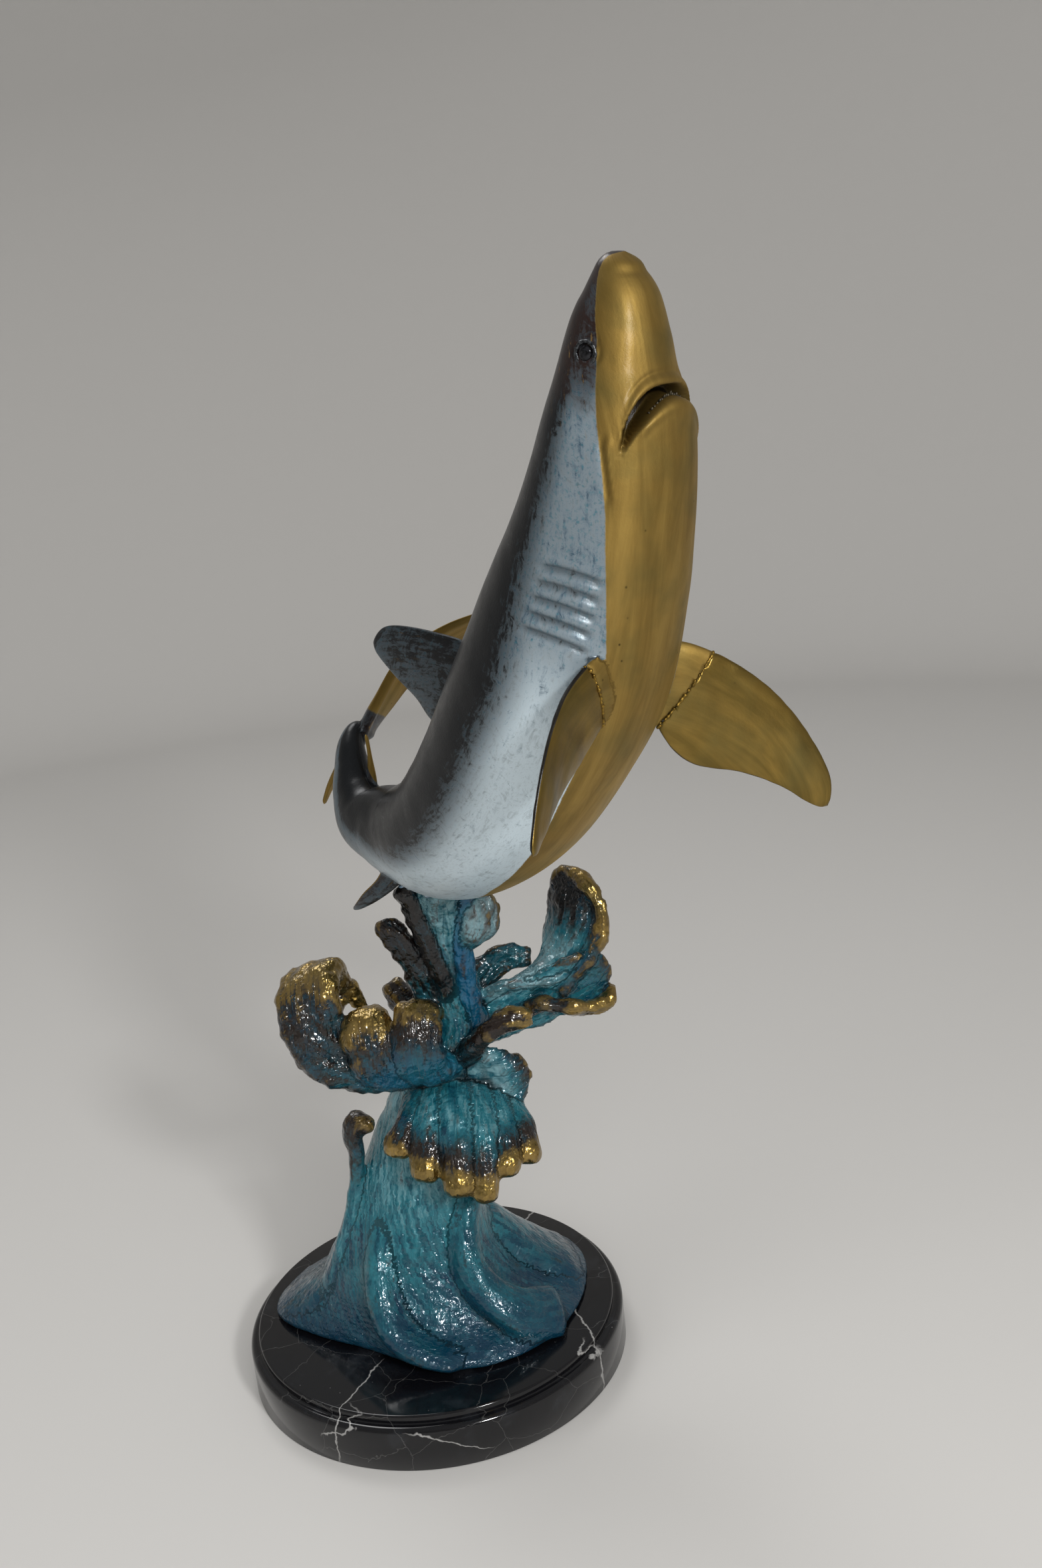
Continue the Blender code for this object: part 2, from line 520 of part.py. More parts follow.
# Studs, washers and nuts
def collar(name, outer, bore, low, high, x, y):
    rings = []
    turns = [math.tau * i / FIXING_SEGMENTS for i in range(FIXING_SEGMENTS)]
    for reach, height in ((outer, low), (outer, high), (bore, high), (bore, low)):
        rings.append([upright_ring_point(x, y, reach(a), a, height) for a in turns])
    mesh = bmesh.new()
    loops = [[mesh.verts.new(point) for point in ring] for ring in rings]
    for k in range(len(loops)):
        first, second = loops[k], loops[(k + 1) % len(loops)]
        for i in range(FIXING_SEGMENTS):
            j = (i + 1) % FIXING_SEGMENTS
            mesh.faces.new((first[i], first[j], second[j], second[i]))
    bmesh.ops.recalc_face_normals(mesh, faces=mesh.faces)
    data = bpy.data.meshes.new(name)
    mesh.to_mesh(data)
    mesh.free()
    obj = add_object(name, data, steel)
    shade(obj, SHARP_ANGLE)


def hexagon(angle):
    side = math.pi / 3
    return NUT_WIDTH / 2 / math.cos((angle + side / 2) % side - side / 2)


def make_fixings():
    washer_top = COUNTERBORE_DEPTH - GAP
    nut_top = washer_top - WASHER_THICKNESS - GAP
    nut_low = nut_top - NUT_HEIGHT
    bore = STUD_RADIUS + GAP
    for i, (x, y) in enumerate(stud_places(), 1):
        ends = [(STUD_RADIUS, nut_low - NUT_PROUD), (STUD_RADIUS, PLATEAU + GAP + STUD_GRIP)]
        stud = turned(f"wave_stud_{i}", ends, x, y, FIXING_SEGMENTS, steel)
        shade(stud, SHARP_ANGLE)
        collar(f"stud_washer_{i}", lambda a: WASHER_RADIUS, lambda a: bore,
               washer_top - WASHER_THICKNESS, washer_top, x, y)
        collar(f"stud_nut_{i}", hexagon, lambda a: bore, nut_low, nut_top, x, y)


# The shark's body
SPINE_LENGTH = length_of(SPINE)


def body_frame(back):
    here = through(SPINE, [back])[0]
    ahead, behind = through(SPINE, [max(back - 2.0, 0.0), min(back + 2.0, SPINE_LENGTH)])
    tangent = (from_shark(*behind[:3]) - from_shark(*ahead[:3])).normalized()
    left = from_shark(0, 1, 0) - from_shark(0, 0, 0)
    left = (left - tangent * left.dot(tangent)).normalized()
    ease = max(1.0 - back / TWIST_LENGTH, 0.0)
    left.rotate(Quaternion(tangent, math.radians(HEAD_TWIST) * ease * ease * (3 - 2 * ease)))
    return from_shark(*here[:3]), tangent, left, tangent.cross(left), here[3:]


# A point on the body: distance behind the nose, angle from the throat's middle towards the shark's
# right, and its share of the radius
def body_point(back, angle, share=1.0):
    centre, tangent, left, belly, (width, back_depth, belly_depth) = body_frame(back)
    c, s = math.cos(math.radians(angle)), math.sin(math.radians(angle))
    depth = belly_depth if c > 0 else back_depth
    size = (abs(c / depth) ** BODY_SQUARENESS + abs(s / width) ** BODY_SQUARENESS) ** (-1 / BODY_SQUARENESS)
    return centre + (belly * c - left * s) * size * share * MM


def make_trunk():
    ease = [i / NOSE_RINGS for i in range(NOSE_RINGS)]
    places = [NOSE_LENGTH * t * t for t in ease]
    rest = BODY_RINGS - NOSE_RINGS
    places += [NOSE_LENGTH + (SPINE_LENGTH - NOSE_LENGTH) * i / (rest - 1) for i in range(rest)]
    turns = [360.0 * i / BODY_SEGMENTS for i in range(BODY_SEGMENTS)]
    rings = [[body_point(place, turn) for turn in turns] for place in places]
    return loft("shark_body", rings, skin_patina)


def lip(curve, share):
    front, corner, reach, power = curve
    angle = reach * math.sin(math.pi / 2 * share)
    rise = (1 - abs(angle / reach) ** power) ** (1 / power)
    return corner - (corner - front) * rise, angle


def make_mouth():
    shares = [-1 + 2 * i / (MOUTH_POINTS - 1) for i in range(MOUTH_POINTS)]
    rings = []
    for share in shares:
        upper, lower = lip(UPPER_LIP, share * MOUTH_CORNER), lip(LOWER_LIP, share * MOUTH_CORNER)
        inner = 1.0 - MOUTH_DEPTH * math.cos(math.pi / 2 * share * 0.8)
        rings.append([body_point(*upper, inner), body_point(*upper, MOUTH_FLARE),
                      body_point(*lower, MOUTH_FLARE), body_point(*lower, inner)])
    return loft("mouth", rings, polished_bronze)


def make_gill(back, side):
    rings = []
    for i in range(GILL_POINTS):
        t = i / (GILL_POINTS - 1)
        angle = side * (GILL_FROM_ANGLE + (GILL_TO_ANGLE - GILL_FROM_ANGLE) * t)
        half = GILL_WIDTH / 2 * (GILL_END_WIDTH + (1 - GILL_END_WIDTH) * math.sin(math.pi * t))
        surface = body_point(back, angle)
        centre, tangent = body_frame(back)[:2]
        outward = (surface - centre).normalized() * MM
        along = tangent * MM
        top = surface + outward * CUT_MARGIN
        rings.append([top - along * half, top + along * half, surface - outward * GILL_DEPTH])
    return loft("gill", rings, skin_patina)


def blade(name, stations, place, material):
    rings = []
    rows = [[*front, *rear, thickness] for front, rear, thickness in stations]
    for row in evenly(rows, len(rows) * 2):
        front, rear = place(*row[:3]), place(*row[3:6])
        rings.append((front, rear, row[6] * MM))
    loops = []
    for i, (front, rear, thickness) in enumerate(rings):
        before, after = rings[max(i - 1, 0)], rings[min(i + 1, len(rings) - 1)]
        outward = (after[0] + after[1]) - (before[0] + before[1])
        normal = (rear - front).cross(outward).normalized()
        loop = []
        for k in range(FIN_POINTS):
            a = math.tau * k / FIN_POINTS
            along = (1 - math.cos(a)) / 2
            fullness = FIN_FRONT_FULLNESS + (FIN_REAR_FULLNESS - FIN_FRONT_FULLNESS) * along
            bulge = math.sin(a) * fullness
            loop.append(front.lerp(rear, along) + normal * bulge * thickness / 2)
        loops.append(loop)
    return loft(name, loops, material)


def make_eye(side):
    surface = body_point(EYE_BACK, side * EYE_ANGLE)
    centre, tangent = body_frame(EYE_BACK)[:2]
    outward = (surface - centre).normalized()
    along = (tangent - outward * tangent.dot(outward)).normalized()
    across = outward.cross(along)
    turns = [math.tau * i / EYE_POINTS for i in range(EYE_POINTS)]
    pieces = []
    dome = [(EYE_RADIUS, -EYE_ROOT)]
    dome += [(EYE_RADIUS * math.cos(a), EYE_HEIGHT * math.sin(a)) for a in (0.1, 0.6, 1.15)]
    rim, half = EYE_RING_RADIUS, EYE_RING_THICKNESS
    ring = [(rim + half, -EYE_ROOT), (rim + half, half / 3), (rim, half)]
    ring += [(rim - half, half / 3), (rim - half, -half / 2)]
    for profile in (ring, dome):
        rings = []
        for radius, height in profile:
            rings.append([surface + (along * math.cos(a) * radius + across * math.sin(a) * radius
                                     + outward * height) * MM for a in turns])
        pieces.append(loft("eye", rings, polished_bronze))
    return pieces


def weld_seam(stations):
    front, rear = from_base(*stations[1][0]), from_base(*stations[1][1])
    tip_front, tip_rear = from_base(*stations[2][0]), from_base(*stations[2][1])
    outward = ((tip_front + tip_rear) - (front + rear)).normalized()
    return (front + rear) / 2 + outward * STUB_LENGTH * MM, outward


def make_pectoral(name, stations, body):
    fin = blade(name, stations, from_base, polished_bronze)
    stub = blade("stub", stations, from_base, polished_bronze)
    seam, outward = weld_seam(stations)
    clip(stub, seam, outward)
    clip(fin, seam + outward * GAP * MM, -outward)
    combine(body, stub, "UNION")
    shade(fin, BODY_SHARP_ANGLE)
    return fin


def mirrored(stations):
    return [((f[0], -f[1], f[2]), (r[0], -r[1], r[2]), t) for f, r, t in stations]


def make_shark():
    body = make_trunk()
    combine(body, make_mouth(), "DIFFERENCE")
    for side in (-1, 1):
        for i in range(GILL_COUNT):
            combine(body, make_gill(GILL_FIRST + GILL_PITCH * i, side), "DIFFERENCE")
        for piece in make_eye(side):
            combine(body, piece, "UNION")
    combine(body, blade("fin", DORSAL_FIN, from_shark, skin_patina), "UNION")
    combine(body, blade("fin", PELVIC_FIN, from_shark, skin_patina), "UNION")
    combine(body, blade("fin", mirrored(PELVIC_FIN), from_shark, skin_patina), "UNION")
    for stations in (SECOND_DORSAL_FIN, UPPER_TAIL_LOBE, LOWER_TAIL_LOBE):
        combine(body, blade("fin", stations, from_base, skin_patina), "UNION")
    make_pectoral("right_pectoral_fin", RIGHT_PECTORAL, body)
    make_pectoral("left_pectoral_fin", LEFT_PECTORAL, body)
    keep_largest(body)
    shade(body, BODY_SHARP_ANGLE)
    return body


# The wave
def skirt_reach(angle):
    step = math.tau / len(SKIRT_REACH)
    place = (angle % math.tau) / step
    i = int(place)
    t = place - i
    values = [SKIRT_REACH[(i + k) % len(SKIRT_REACH)] for k in (-1, 0, 1, 2)]
    slopes = (values[2] - values[0]) / 2, (values[3] - values[1]) / 2
    return ((2 * t**3 - 3 * t**2 + 1) * values[1] + (t**3 - 2 * t**2 + t) * slopes[0]
            + (3 * t**2 - 2 * t**3) * values[2] + (t**3 - t**2) * slopes[1])


def make_column():
    rings = []
    for height, share, x, y, width, depth in COLUMN:
        ring = []
        for i in range(COLUMN_SEGMENTS):
            a = math.tau * i / COLUMN_SEGMENTS
            round_reach = 1 / math.hypot(math.cos(a) / width, math.sin(a) / depth)
            reach = skirt_reach(a) * share + round_reach * (1 - share)
            ring.append(from_base(x + reach * math.cos(a), y + reach * math.sin(a), height))
        rings.append(ring)
    return loft("wave_casting", rings, sea_patina)


def tongue_ring(row, tangent, across):
    width, thickness, cup = row[3:6]
    across = (across - tangent * across.dot(tangent)).normalized()
    normal = tangent.cross(across)
    ring = []
    for i in range(TONGUE_POINTS):
        a = math.tau * i / TONGUE_POINTS
        lift = thickness * math.sin(a) + cup * math.cos(a) ** 2
        ring.append(from_base(*row[:3]) + (across * width * math.cos(a) + normal * lift) * MM)
    return ring


def make_tongue(name):
    stations, root_across, tip_across = TONGUES[name]
    rows = evenly(stations, RINGS_PER_SPAN * (len(stations) - 1) + 1)
    rings = []
    for i, row in enumerate(rows):
        before, after = rows[max(i - 1, 0)], rows[min(i + 1, len(rows) - 1)]
        tangent = (Vector(after[:3]) - Vector(before[:3])).normalized()
        across = Vector(root_across).lerp(Vector(tip_across), i / (len(rows) - 1))
        rings.append(tongue_ring(row, tangent, across))
    # A round end beyond the last station
    last, tangent = rows[-1], (Vector(rows[-1][:3]) - Vector(rows[-2][:3])).normalized()
    for turn in TIP_TURNS:
        c, s = math.cos(math.radians(turn)), math.sin(math.radians(turn))
        place = Vector(last[:3]) + tangent * last[4] * s
        row = [*place, last[3] * (TIP_BLUNTNESS + (1 - TIP_BLUNTNESS) * c), last[4] * c, last[5] * c]
        rings.append(tongue_ring(row, tangent, Vector(tip_across)))
    return loft(name, rings, sea_patina)


def make_core():
    rows = evenly([(x, y, height, width, depth) for height, x, y, width, depth in CORE], CORE_RINGS)
    turns = [math.tau * i / CORE_SEGMENTS for i in range(CORE_SEGMENTS)]
    rings = [[from_base(x + width * math.cos(a), y + depth * math.sin(a), height) for a in turns]
             for x, y, height, width, depth in rows]
    return loft("core", rings, sea_patina)


def make_wave(body):
    wave = make_column()
    pieces = [make_tongue(name) for name in TONGUES]
    with bpy.context.temp_override(active_object=wave, selected_editable_objects=[wave, *pieces]):
        bpy.ops.object.join()
    melt = wave.modifiers.new("melt", "REMESH")
    melt.mode = "VOXEL"
    melt.voxel_size = WAVE_GRAIN * MM
    soften = wave.modifiers.new("soften", "SMOOTH")
    soften.factor = 0.5
    soften.iterations = SMOOTHING_PASSES
    apply_modifiers(wave)
    thin = wave.modifiers.new("thin", "DECIMATE")
    thin.ratio = WAVE_FACES / (2 * len(wave.data.polygons))
    apply_modifiers(wave)
    clip(wave, from_base(0, 0, GAP), Vector((0, 0, -1)))
    core = make_core()
    for x, y in stud_places():
        ends = [(BOSS_RADIUS, PLATEAU - BOSS_HEIGHT), (BOSS_RADIUS, PLATEAU + BOSS_HEIGHT)]
        boss = turned("boss", ends, x, y, FIXING_SEGMENTS, sea_patina)
        combine(core, boss, "DIFFERENCE")
    combine(wave, core, "DIFFERENCE")
    for x, y in stud_places():
        bore = STUD_RADIUS + GAP
        ends = [(bore, PLATEAU - CUT_MARGIN), (bore, PLATEAU + GAP + STUD_GRIP + GAP)]
        combine(wave, turned("cut", ends, x, y, FIXING_SEGMENTS, sea_patina), "DIFFERENCE")
    combine(wave, grown(body, WELD_GAP), "DIFFERENCE")
    keep_largest(wave)
    shade(wave, WAVE_SHARP_ANGLE)
    return wave


make_base()
make_fixings()
shark = make_shark()
make_wave(shark)
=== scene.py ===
# A leaping shark in patinated bronze on a breaking wave and a stepped round marble base.
import math

import bmesh
import bpy
import numpy as np
from mathutils import Matrix, Vector, noise
from mathutils.kdtree import KDTree


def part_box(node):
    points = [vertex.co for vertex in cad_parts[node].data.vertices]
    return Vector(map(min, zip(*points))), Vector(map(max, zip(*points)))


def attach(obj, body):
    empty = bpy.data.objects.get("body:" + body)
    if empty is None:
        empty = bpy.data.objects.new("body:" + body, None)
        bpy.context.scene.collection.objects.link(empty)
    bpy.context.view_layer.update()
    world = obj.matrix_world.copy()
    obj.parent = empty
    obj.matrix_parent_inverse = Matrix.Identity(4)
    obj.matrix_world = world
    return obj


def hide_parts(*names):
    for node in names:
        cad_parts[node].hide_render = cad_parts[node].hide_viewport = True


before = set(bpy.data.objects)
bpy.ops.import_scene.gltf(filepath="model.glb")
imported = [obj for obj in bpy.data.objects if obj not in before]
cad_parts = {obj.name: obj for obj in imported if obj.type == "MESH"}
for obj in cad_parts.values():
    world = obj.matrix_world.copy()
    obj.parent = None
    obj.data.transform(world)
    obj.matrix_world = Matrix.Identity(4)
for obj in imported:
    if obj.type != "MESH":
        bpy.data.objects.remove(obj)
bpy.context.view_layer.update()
print("frame loaded")

mm = 0.001
plateau = 45.0            # height of the marble's top face; heights in the tables start there
tau = math.tau
perDegree = 0.01745       # radians


# Sums on rows and points, all in millimetres
def unit(v):
    return v / np.linalg.norm(v, axis=-1, keepdims=True)


def fromBase(p):
    p = np.asarray(p, float)
    return p + np.array([0.0, 0.0, plateau])


def fromShark(p):         # forward, left, height
    p, c = np.asarray(p, float), math.sqrt(0.5)
    return np.stack([(p[..., 0] + p[..., 1]) * c, (p[..., 1] - p[..., 0]) * c, p[..., 2] + plateau], -1)


def knotsOf(rows):
    return np.concatenate([[0.0], np.cumsum(np.linalg.norm(np.diff(rows[:, :3], axis=0), axis=1))])


def hermite(t, span, start, startSlope, end, endSlope):
    return ((2 * t**3 - 3 * t**2 + 1) * start + (t**3 - 2 * t**2 + t) * span * startSlope
            + (3 * t**2 - 2 * t**3) * end + (t**3 - t**2) * span * endSlope)


# A smooth curve through a table's rows; the first three numbers of a row are its place
def through(rows, at):
    rows = np.array(rows, float)
    knots = knotsOf(rows)
    high = np.minimum(np.arange(len(rows)) + 1, len(rows) - 1)
    low = np.maximum(np.arange(len(rows)) - 1, 0)
    slopes = (rows[high] - rows[low]) / (knots[high] - knots[low])[:, None]
    at = np.asarray(at, float)
    i = np.clip(np.searchsorted(knots, at, "right") - 1, 0, len(rows) - 2)
    span = (knots[i + 1] - knots[i])[:, None]
    t = np.clip((at - knots[i])[:, None] / span, 0.0, 1.0)
    return hermite(t, span, rows[i], slopes[i], rows[i + 1], slopes[i + 1])


def evenly(rows, count):
    rows = np.array(rows, float)
    return through(rows, np.linspace(0.0, knotsOf(rows)[-1], count))


def ease(low, high, x):
    t = np.clip((x - low) / (high - low), 0.0, 1.0)
    return t * t * (3 - 2 * t)


def bell(x, width):
    return np.exp(-(x / width) ** 2)


def roughness(points, size, seed=0.0):      # smooth noise of -1 to 1 with lumps of this size
    shift = Vector((seed, seed * 1.7, -seed))
    return np.array([noise.noise(Vector(p) / size + shift) for p in points])


def newObject(name, mesh):
    obj = bpy.data.objects.new(name, mesh)
    bpy.context.collection.objects.link(obj)
    return obj


def loft(name, rings):                       # rings: array of rings x points x 3
    count, around = rings.shape[:2]
    i, j = np.meshgrid(np.arange(count - 1), np.arange(around), indexing="ij")
    k = (j + 1) % around
    faces = np.stack([i * around + j, i * around + k, (i + 1) * around + k, (i + 1) * around + j], -1)
    faces = faces.reshape(-1, 4).tolist()
    verts = np.concatenate([rings.reshape(-1, 3), [rings[0].mean(0)], [rings[-1].mean(0)]])
    start, top = count * around, (count - 1) * around
    for a in range(around):
        b = (a + 1) % around
        faces += [(b, a, start), (top + a, top + b, start + 1)]
    mesh = bpy.data.meshes.new(name)
    mesh.from_pydata((verts * mm).tolist(), [], faces)
    work = bmesh.new()
    work.from_mesh(mesh)
    bmesh.ops.recalc_face_normals(work, faces=work.faces)
    work.to_mesh(mesh)
    work.free()
    return newObject(name, mesh)


def applyModifiers(obj):
    graph = bpy.context.evaluated_depsgraph_get()
    baked = bpy.data.meshes.new_from_object(obj.evaluated_get(graph), depsgraph=graph)
    obj.modifiers.clear()
    obj.data = baked


def combine(target, other, operation):
    step = target.modifiers.new("boolean", "BOOLEAN")
    step.operation = operation
    step.solver = "MANIFOLD"
    step.object = other
    applyModifiers(target)
    bpy.data.objects.remove(other, do_unlink=True)


def joined(first, others):
    with bpy.context.temp_override(active_object=first, selected_editable_objects=[first, *others]):
        bpy.ops.object.join()
    return first


def melt(obj, size, passes):                 # joins what overlaps into one skin
    step = obj.modifiers.new("melt", "REMESH")
    step.mode = "VOXEL"
    step.voxel_size = size * mm
    step = obj.modifiers.new("soften", "SMOOTH")
    step.factor = 0.5
    step.iterations = passes
    applyModifiers(obj)


def readPoints(items, name, kind=float, width=3):
    flat = np.empty(len(items) * width, kind)
    items.foreach_get(name, flat)
    return flat.reshape(-1, width)


def places(obj):
    return readPoints(obj.data.vertices, "co") / mm


def place(obj, points):
    obj.data.vertices.foreach_set("co", (points * mm).ravel())
    obj.data.update()


def normals(obj):
    return readPoints(obj.data.vertices, "normal")


def edges(obj):
    return readPoints(obj.data.edges, "vertices", int, 2)


def insideNode(node, points):                # no point passes the CAD solid's own box
    low, high = (np.array(corner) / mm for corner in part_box(node))
    return np.clip(points, low, high)


def neighbourMean(links, values, passes=1, share=None):
    values = np.array(values, float)
    wide = values.reshape(len(values), -1)
    ends = np.concatenate([links[:, 0], links[:, 1]])
    others = np.concatenate([links[:, 1], links[:, 0]])
    number = np.maximum(np.bincount(ends, minlength=len(wide)), 1)[:, None]
    share = 1.0 if share is None else share[:, None]
    for _ in range(passes):
        sums = [np.bincount(ends, weights=column, minlength=len(wide)) for column in wide[others].T]
        wide = wide + (np.stack(sums, -1) / number - wide) * share
    return wide.reshape(values.shape)


def nearest(points, targets):
    tree = KDTree(len(points))
    for i, p in enumerate(points):
        tree.insert(p, i)
    tree.balance()
    found = [tree.find(p) for p in targets]
    return np.array([f[1] for f in found]), np.array([f[2] for f in found])


def store(obj, **values):                    # numbers kept on the points for the materials
    for name, numbers in values.items():
        if name in obj.data.attributes:      # left over from a piece that cut this one
            obj.data.attributes.remove(obj.data.attributes[name])
        vector = np.ndim(numbers) == 2
        layer = obj.data.attributes.new(name, "FLOAT_VECTOR" if vector else "FLOAT", "POINT")
        flat = np.ascontiguousarray(numbers, np.float32).ravel()
        layer.data.foreach_set("vector" if vector else "value", flat)


def keepLargest(obj):                        # drops crumbs left loose by a cut
    work = bmesh.new()
    work.from_mesh(obj.data)
    left, bodies = set(work.verts), []
    while left:
        found, queue = set(), [left.pop()]
        while queue:
            vertex = queue.pop()
            found.add(vertex)
            near = [edge.other_vert(vertex) for edge in vertex.link_edges]
            queue += [other for other in near if other in left]
            left.difference_update(near)
        bodies.append(found)
    bodies.sort(key=len)
    for crumb in bodies[:-1]:
        bmesh.ops.delete(work, geom=list(crumb), context="VERTS")
    work.to_mesh(obj.data)
    work.free()


def clip(obj, point, normal):                # cuts away what lies beyond a plane and closes the cut
    work = bmesh.new()
    work.from_mesh(obj.data)
    parts = work.verts[:] + work.edges[:] + work.faces[:]
    bmesh.ops.bisect_plane(work, geom=parts, plane_co=Vector(point) * mm, plane_no=Vector(normal),
                           clear_outer=True)
    bmesh.ops.holes_fill(work, edges=[edge for edge in work.edges if edge.is_boundary], sides=0)
    bmesh.ops.triangulate(work, faces=[face for face in work.faces if len(face.verts) > 4])
    bmesh.ops.recalc_face_normals(work, faces=work.faces)
    work.to_mesh(obj.data)
    work.free()


def finished(obj, material, slot, *nodes):
    obj.data.materials.clear()
    obj.data.materials.append(material)
    obj.data.shade_smooth()
    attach(obj, "root")
    if nodes:
        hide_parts(*nodes)
    return obj


def linear(code):                            # an sRGB hex colour as the shader wants it
    parts = [int(code[i:i + 2], 16) / 255 for i in (1, 3, 5)]
    return (*[c / 12.92 if c <= 0.04045 else ((c + 0.055) / 1.055) ** 2.4 for c in parts], 1.0)


def setInputs(tree, node, inputs):
    for name, value in inputs.items():
        if isinstance(value, bpy.types.NodeSocket):
            tree.links.new(value, node.inputs[name])
        else:
            node.inputs[name].default_value = value


def addNode(tree, kind, inputs=None, out=0, **settings):
    node = tree.nodes.new("ShaderNode" + kind)
    for name, value in settings.items():
        setattr(node, name, value)
    setInputs(tree, node, inputs or {})
    return node.outputs[out]


def newMaterial(name):
    material = bpy.data.materials.new(name)
    material.use_nodes = True
    return material, material.node_tree, material.node_tree.nodes["Principled BSDF"]


def layer(tree, under, over, mask, low=0.0, high=1.0, most=1.0):
    # one colour comes up over another where the mask runs from low to high
    part = addNode(tree, "MapRange", {"Value": mask, "From Min": low, "From Max": high, "To Max": most})
    under, over = (linear(colour) if isinstance(colour, str) else colour for colour in (under, over))
    return addNode(tree, "Mix", {0: part, 6: under, 7: over}, 2, data_type="RGBA")


def broken(tree, mask, pattern, amount):     # a pattern of 0 to 1 roughens a mask's border by this much
    shift = addNode(tree, "Math", {0: pattern, 1: -0.5}, operation="ADD")
    return addNode(tree, "Math", {0: shift, 1: amount, 2: mask}, operation="MULTIPLY_ADD")


# Satin polished bronze, sanded along the piece and lacquered: a deep olive gold with darker drawn-out
# streaks, small casting pits and soft broken reflections. Sizes are in millimetres.
bronzeLook = {
    "light": "#A68A4A", "dark": "#876E38", "green": "#6A6138", "speck": "#2A2210",
    "streak": 18.0, "streakStretch": 7.0, "cloud": 34.0, "speckPitch": 13.0,
    "roughLow": 0.54, "roughHigh": 0.7, "pit": 2.6, "pitDepth": 0.12, "swell": 30.0, "swellDepth": 0.9,
}


def goldColours(tree, flow, look):           # flow coordinates run along, across and out of the surface
    squeeze = (1 / look["streakStretch"], 1.0, 1.0)
    drawn = addNode(tree, "VectorMath", {0: flow, 1: squeeze}, operation="MULTIPLY")
    streaks = addNode(tree, "TexNoise", {"Vector": drawn, "Scale": 1 / look["streak"], "Detail": 5.0,
                                         "Roughness": 0.62, "Distortion": 0.6})
    cloud = addNode(tree, "TexNoise", {"Vector": flow, "Scale": 1 / look["cloud"], "Detail": 3.0})
    colour = layer(tree, look["dark"], look["light"], streaks, 0.36, 0.64)
    colour = layer(tree, colour, look["green"], cloud, 0.45, 0.75, 0.6)
    # a few casting flaws that the polishing left dark
    flaw = addNode(tree, "TexVoronoi", {"Vector": flow, "Scale": 1 / look["speckPitch"]})
    flaw = addNode(tree, "MapRange", {"Value": flaw, "From Min": 0.03, "From Max": 0.085,
                                      "To Min": 0.8, "To Max": 0.0})
    some = addNode(tree, "MapRange", {"Value": cloud, "From Min": 0.5, "From Max": 0.56})
    flaw = addNode(tree, "Math", {0: flaw, 1: some}, operation="MULTIPLY")
    colour = layer(tree, colour, look["speck"], flaw)
    rough = addNode(tree, "MapRange", {"Value": streaks, "From Min": 0.3, "From Max": 0.7,
                                       "To Min": look["roughHigh"], "To Max": look["roughLow"]})
    return colour, rough, streaks


def castBump(tree, flow, look):
    # fine pits left by the mould; real ones are finer than this and are drawn coarser to show
    pits = addNode(tree, "TexNoise", {"Vector": flow, "Scale": 1 / look["pit"],
                                      "Detail": 3.0, "Roughness": 0.7})
    height = addNode(tree, "Math", {0: pits, 1: look["pitDepth"] * mm}, operation="MULTIPLY")
    swell = addNode(tree, "TexNoise", {"Vector": flow, "Scale": 1 / look["swell"], "Detail": 1.0})
    height = addNode(tree, "Math", {0: swell, 1: look["swellDepth"] * mm, 2: height}, operation="MULTIPLY_ADD")
    return addNode(tree, "Bump", {"Strength": 1.0, "Distance": 1.0, "Height": height})


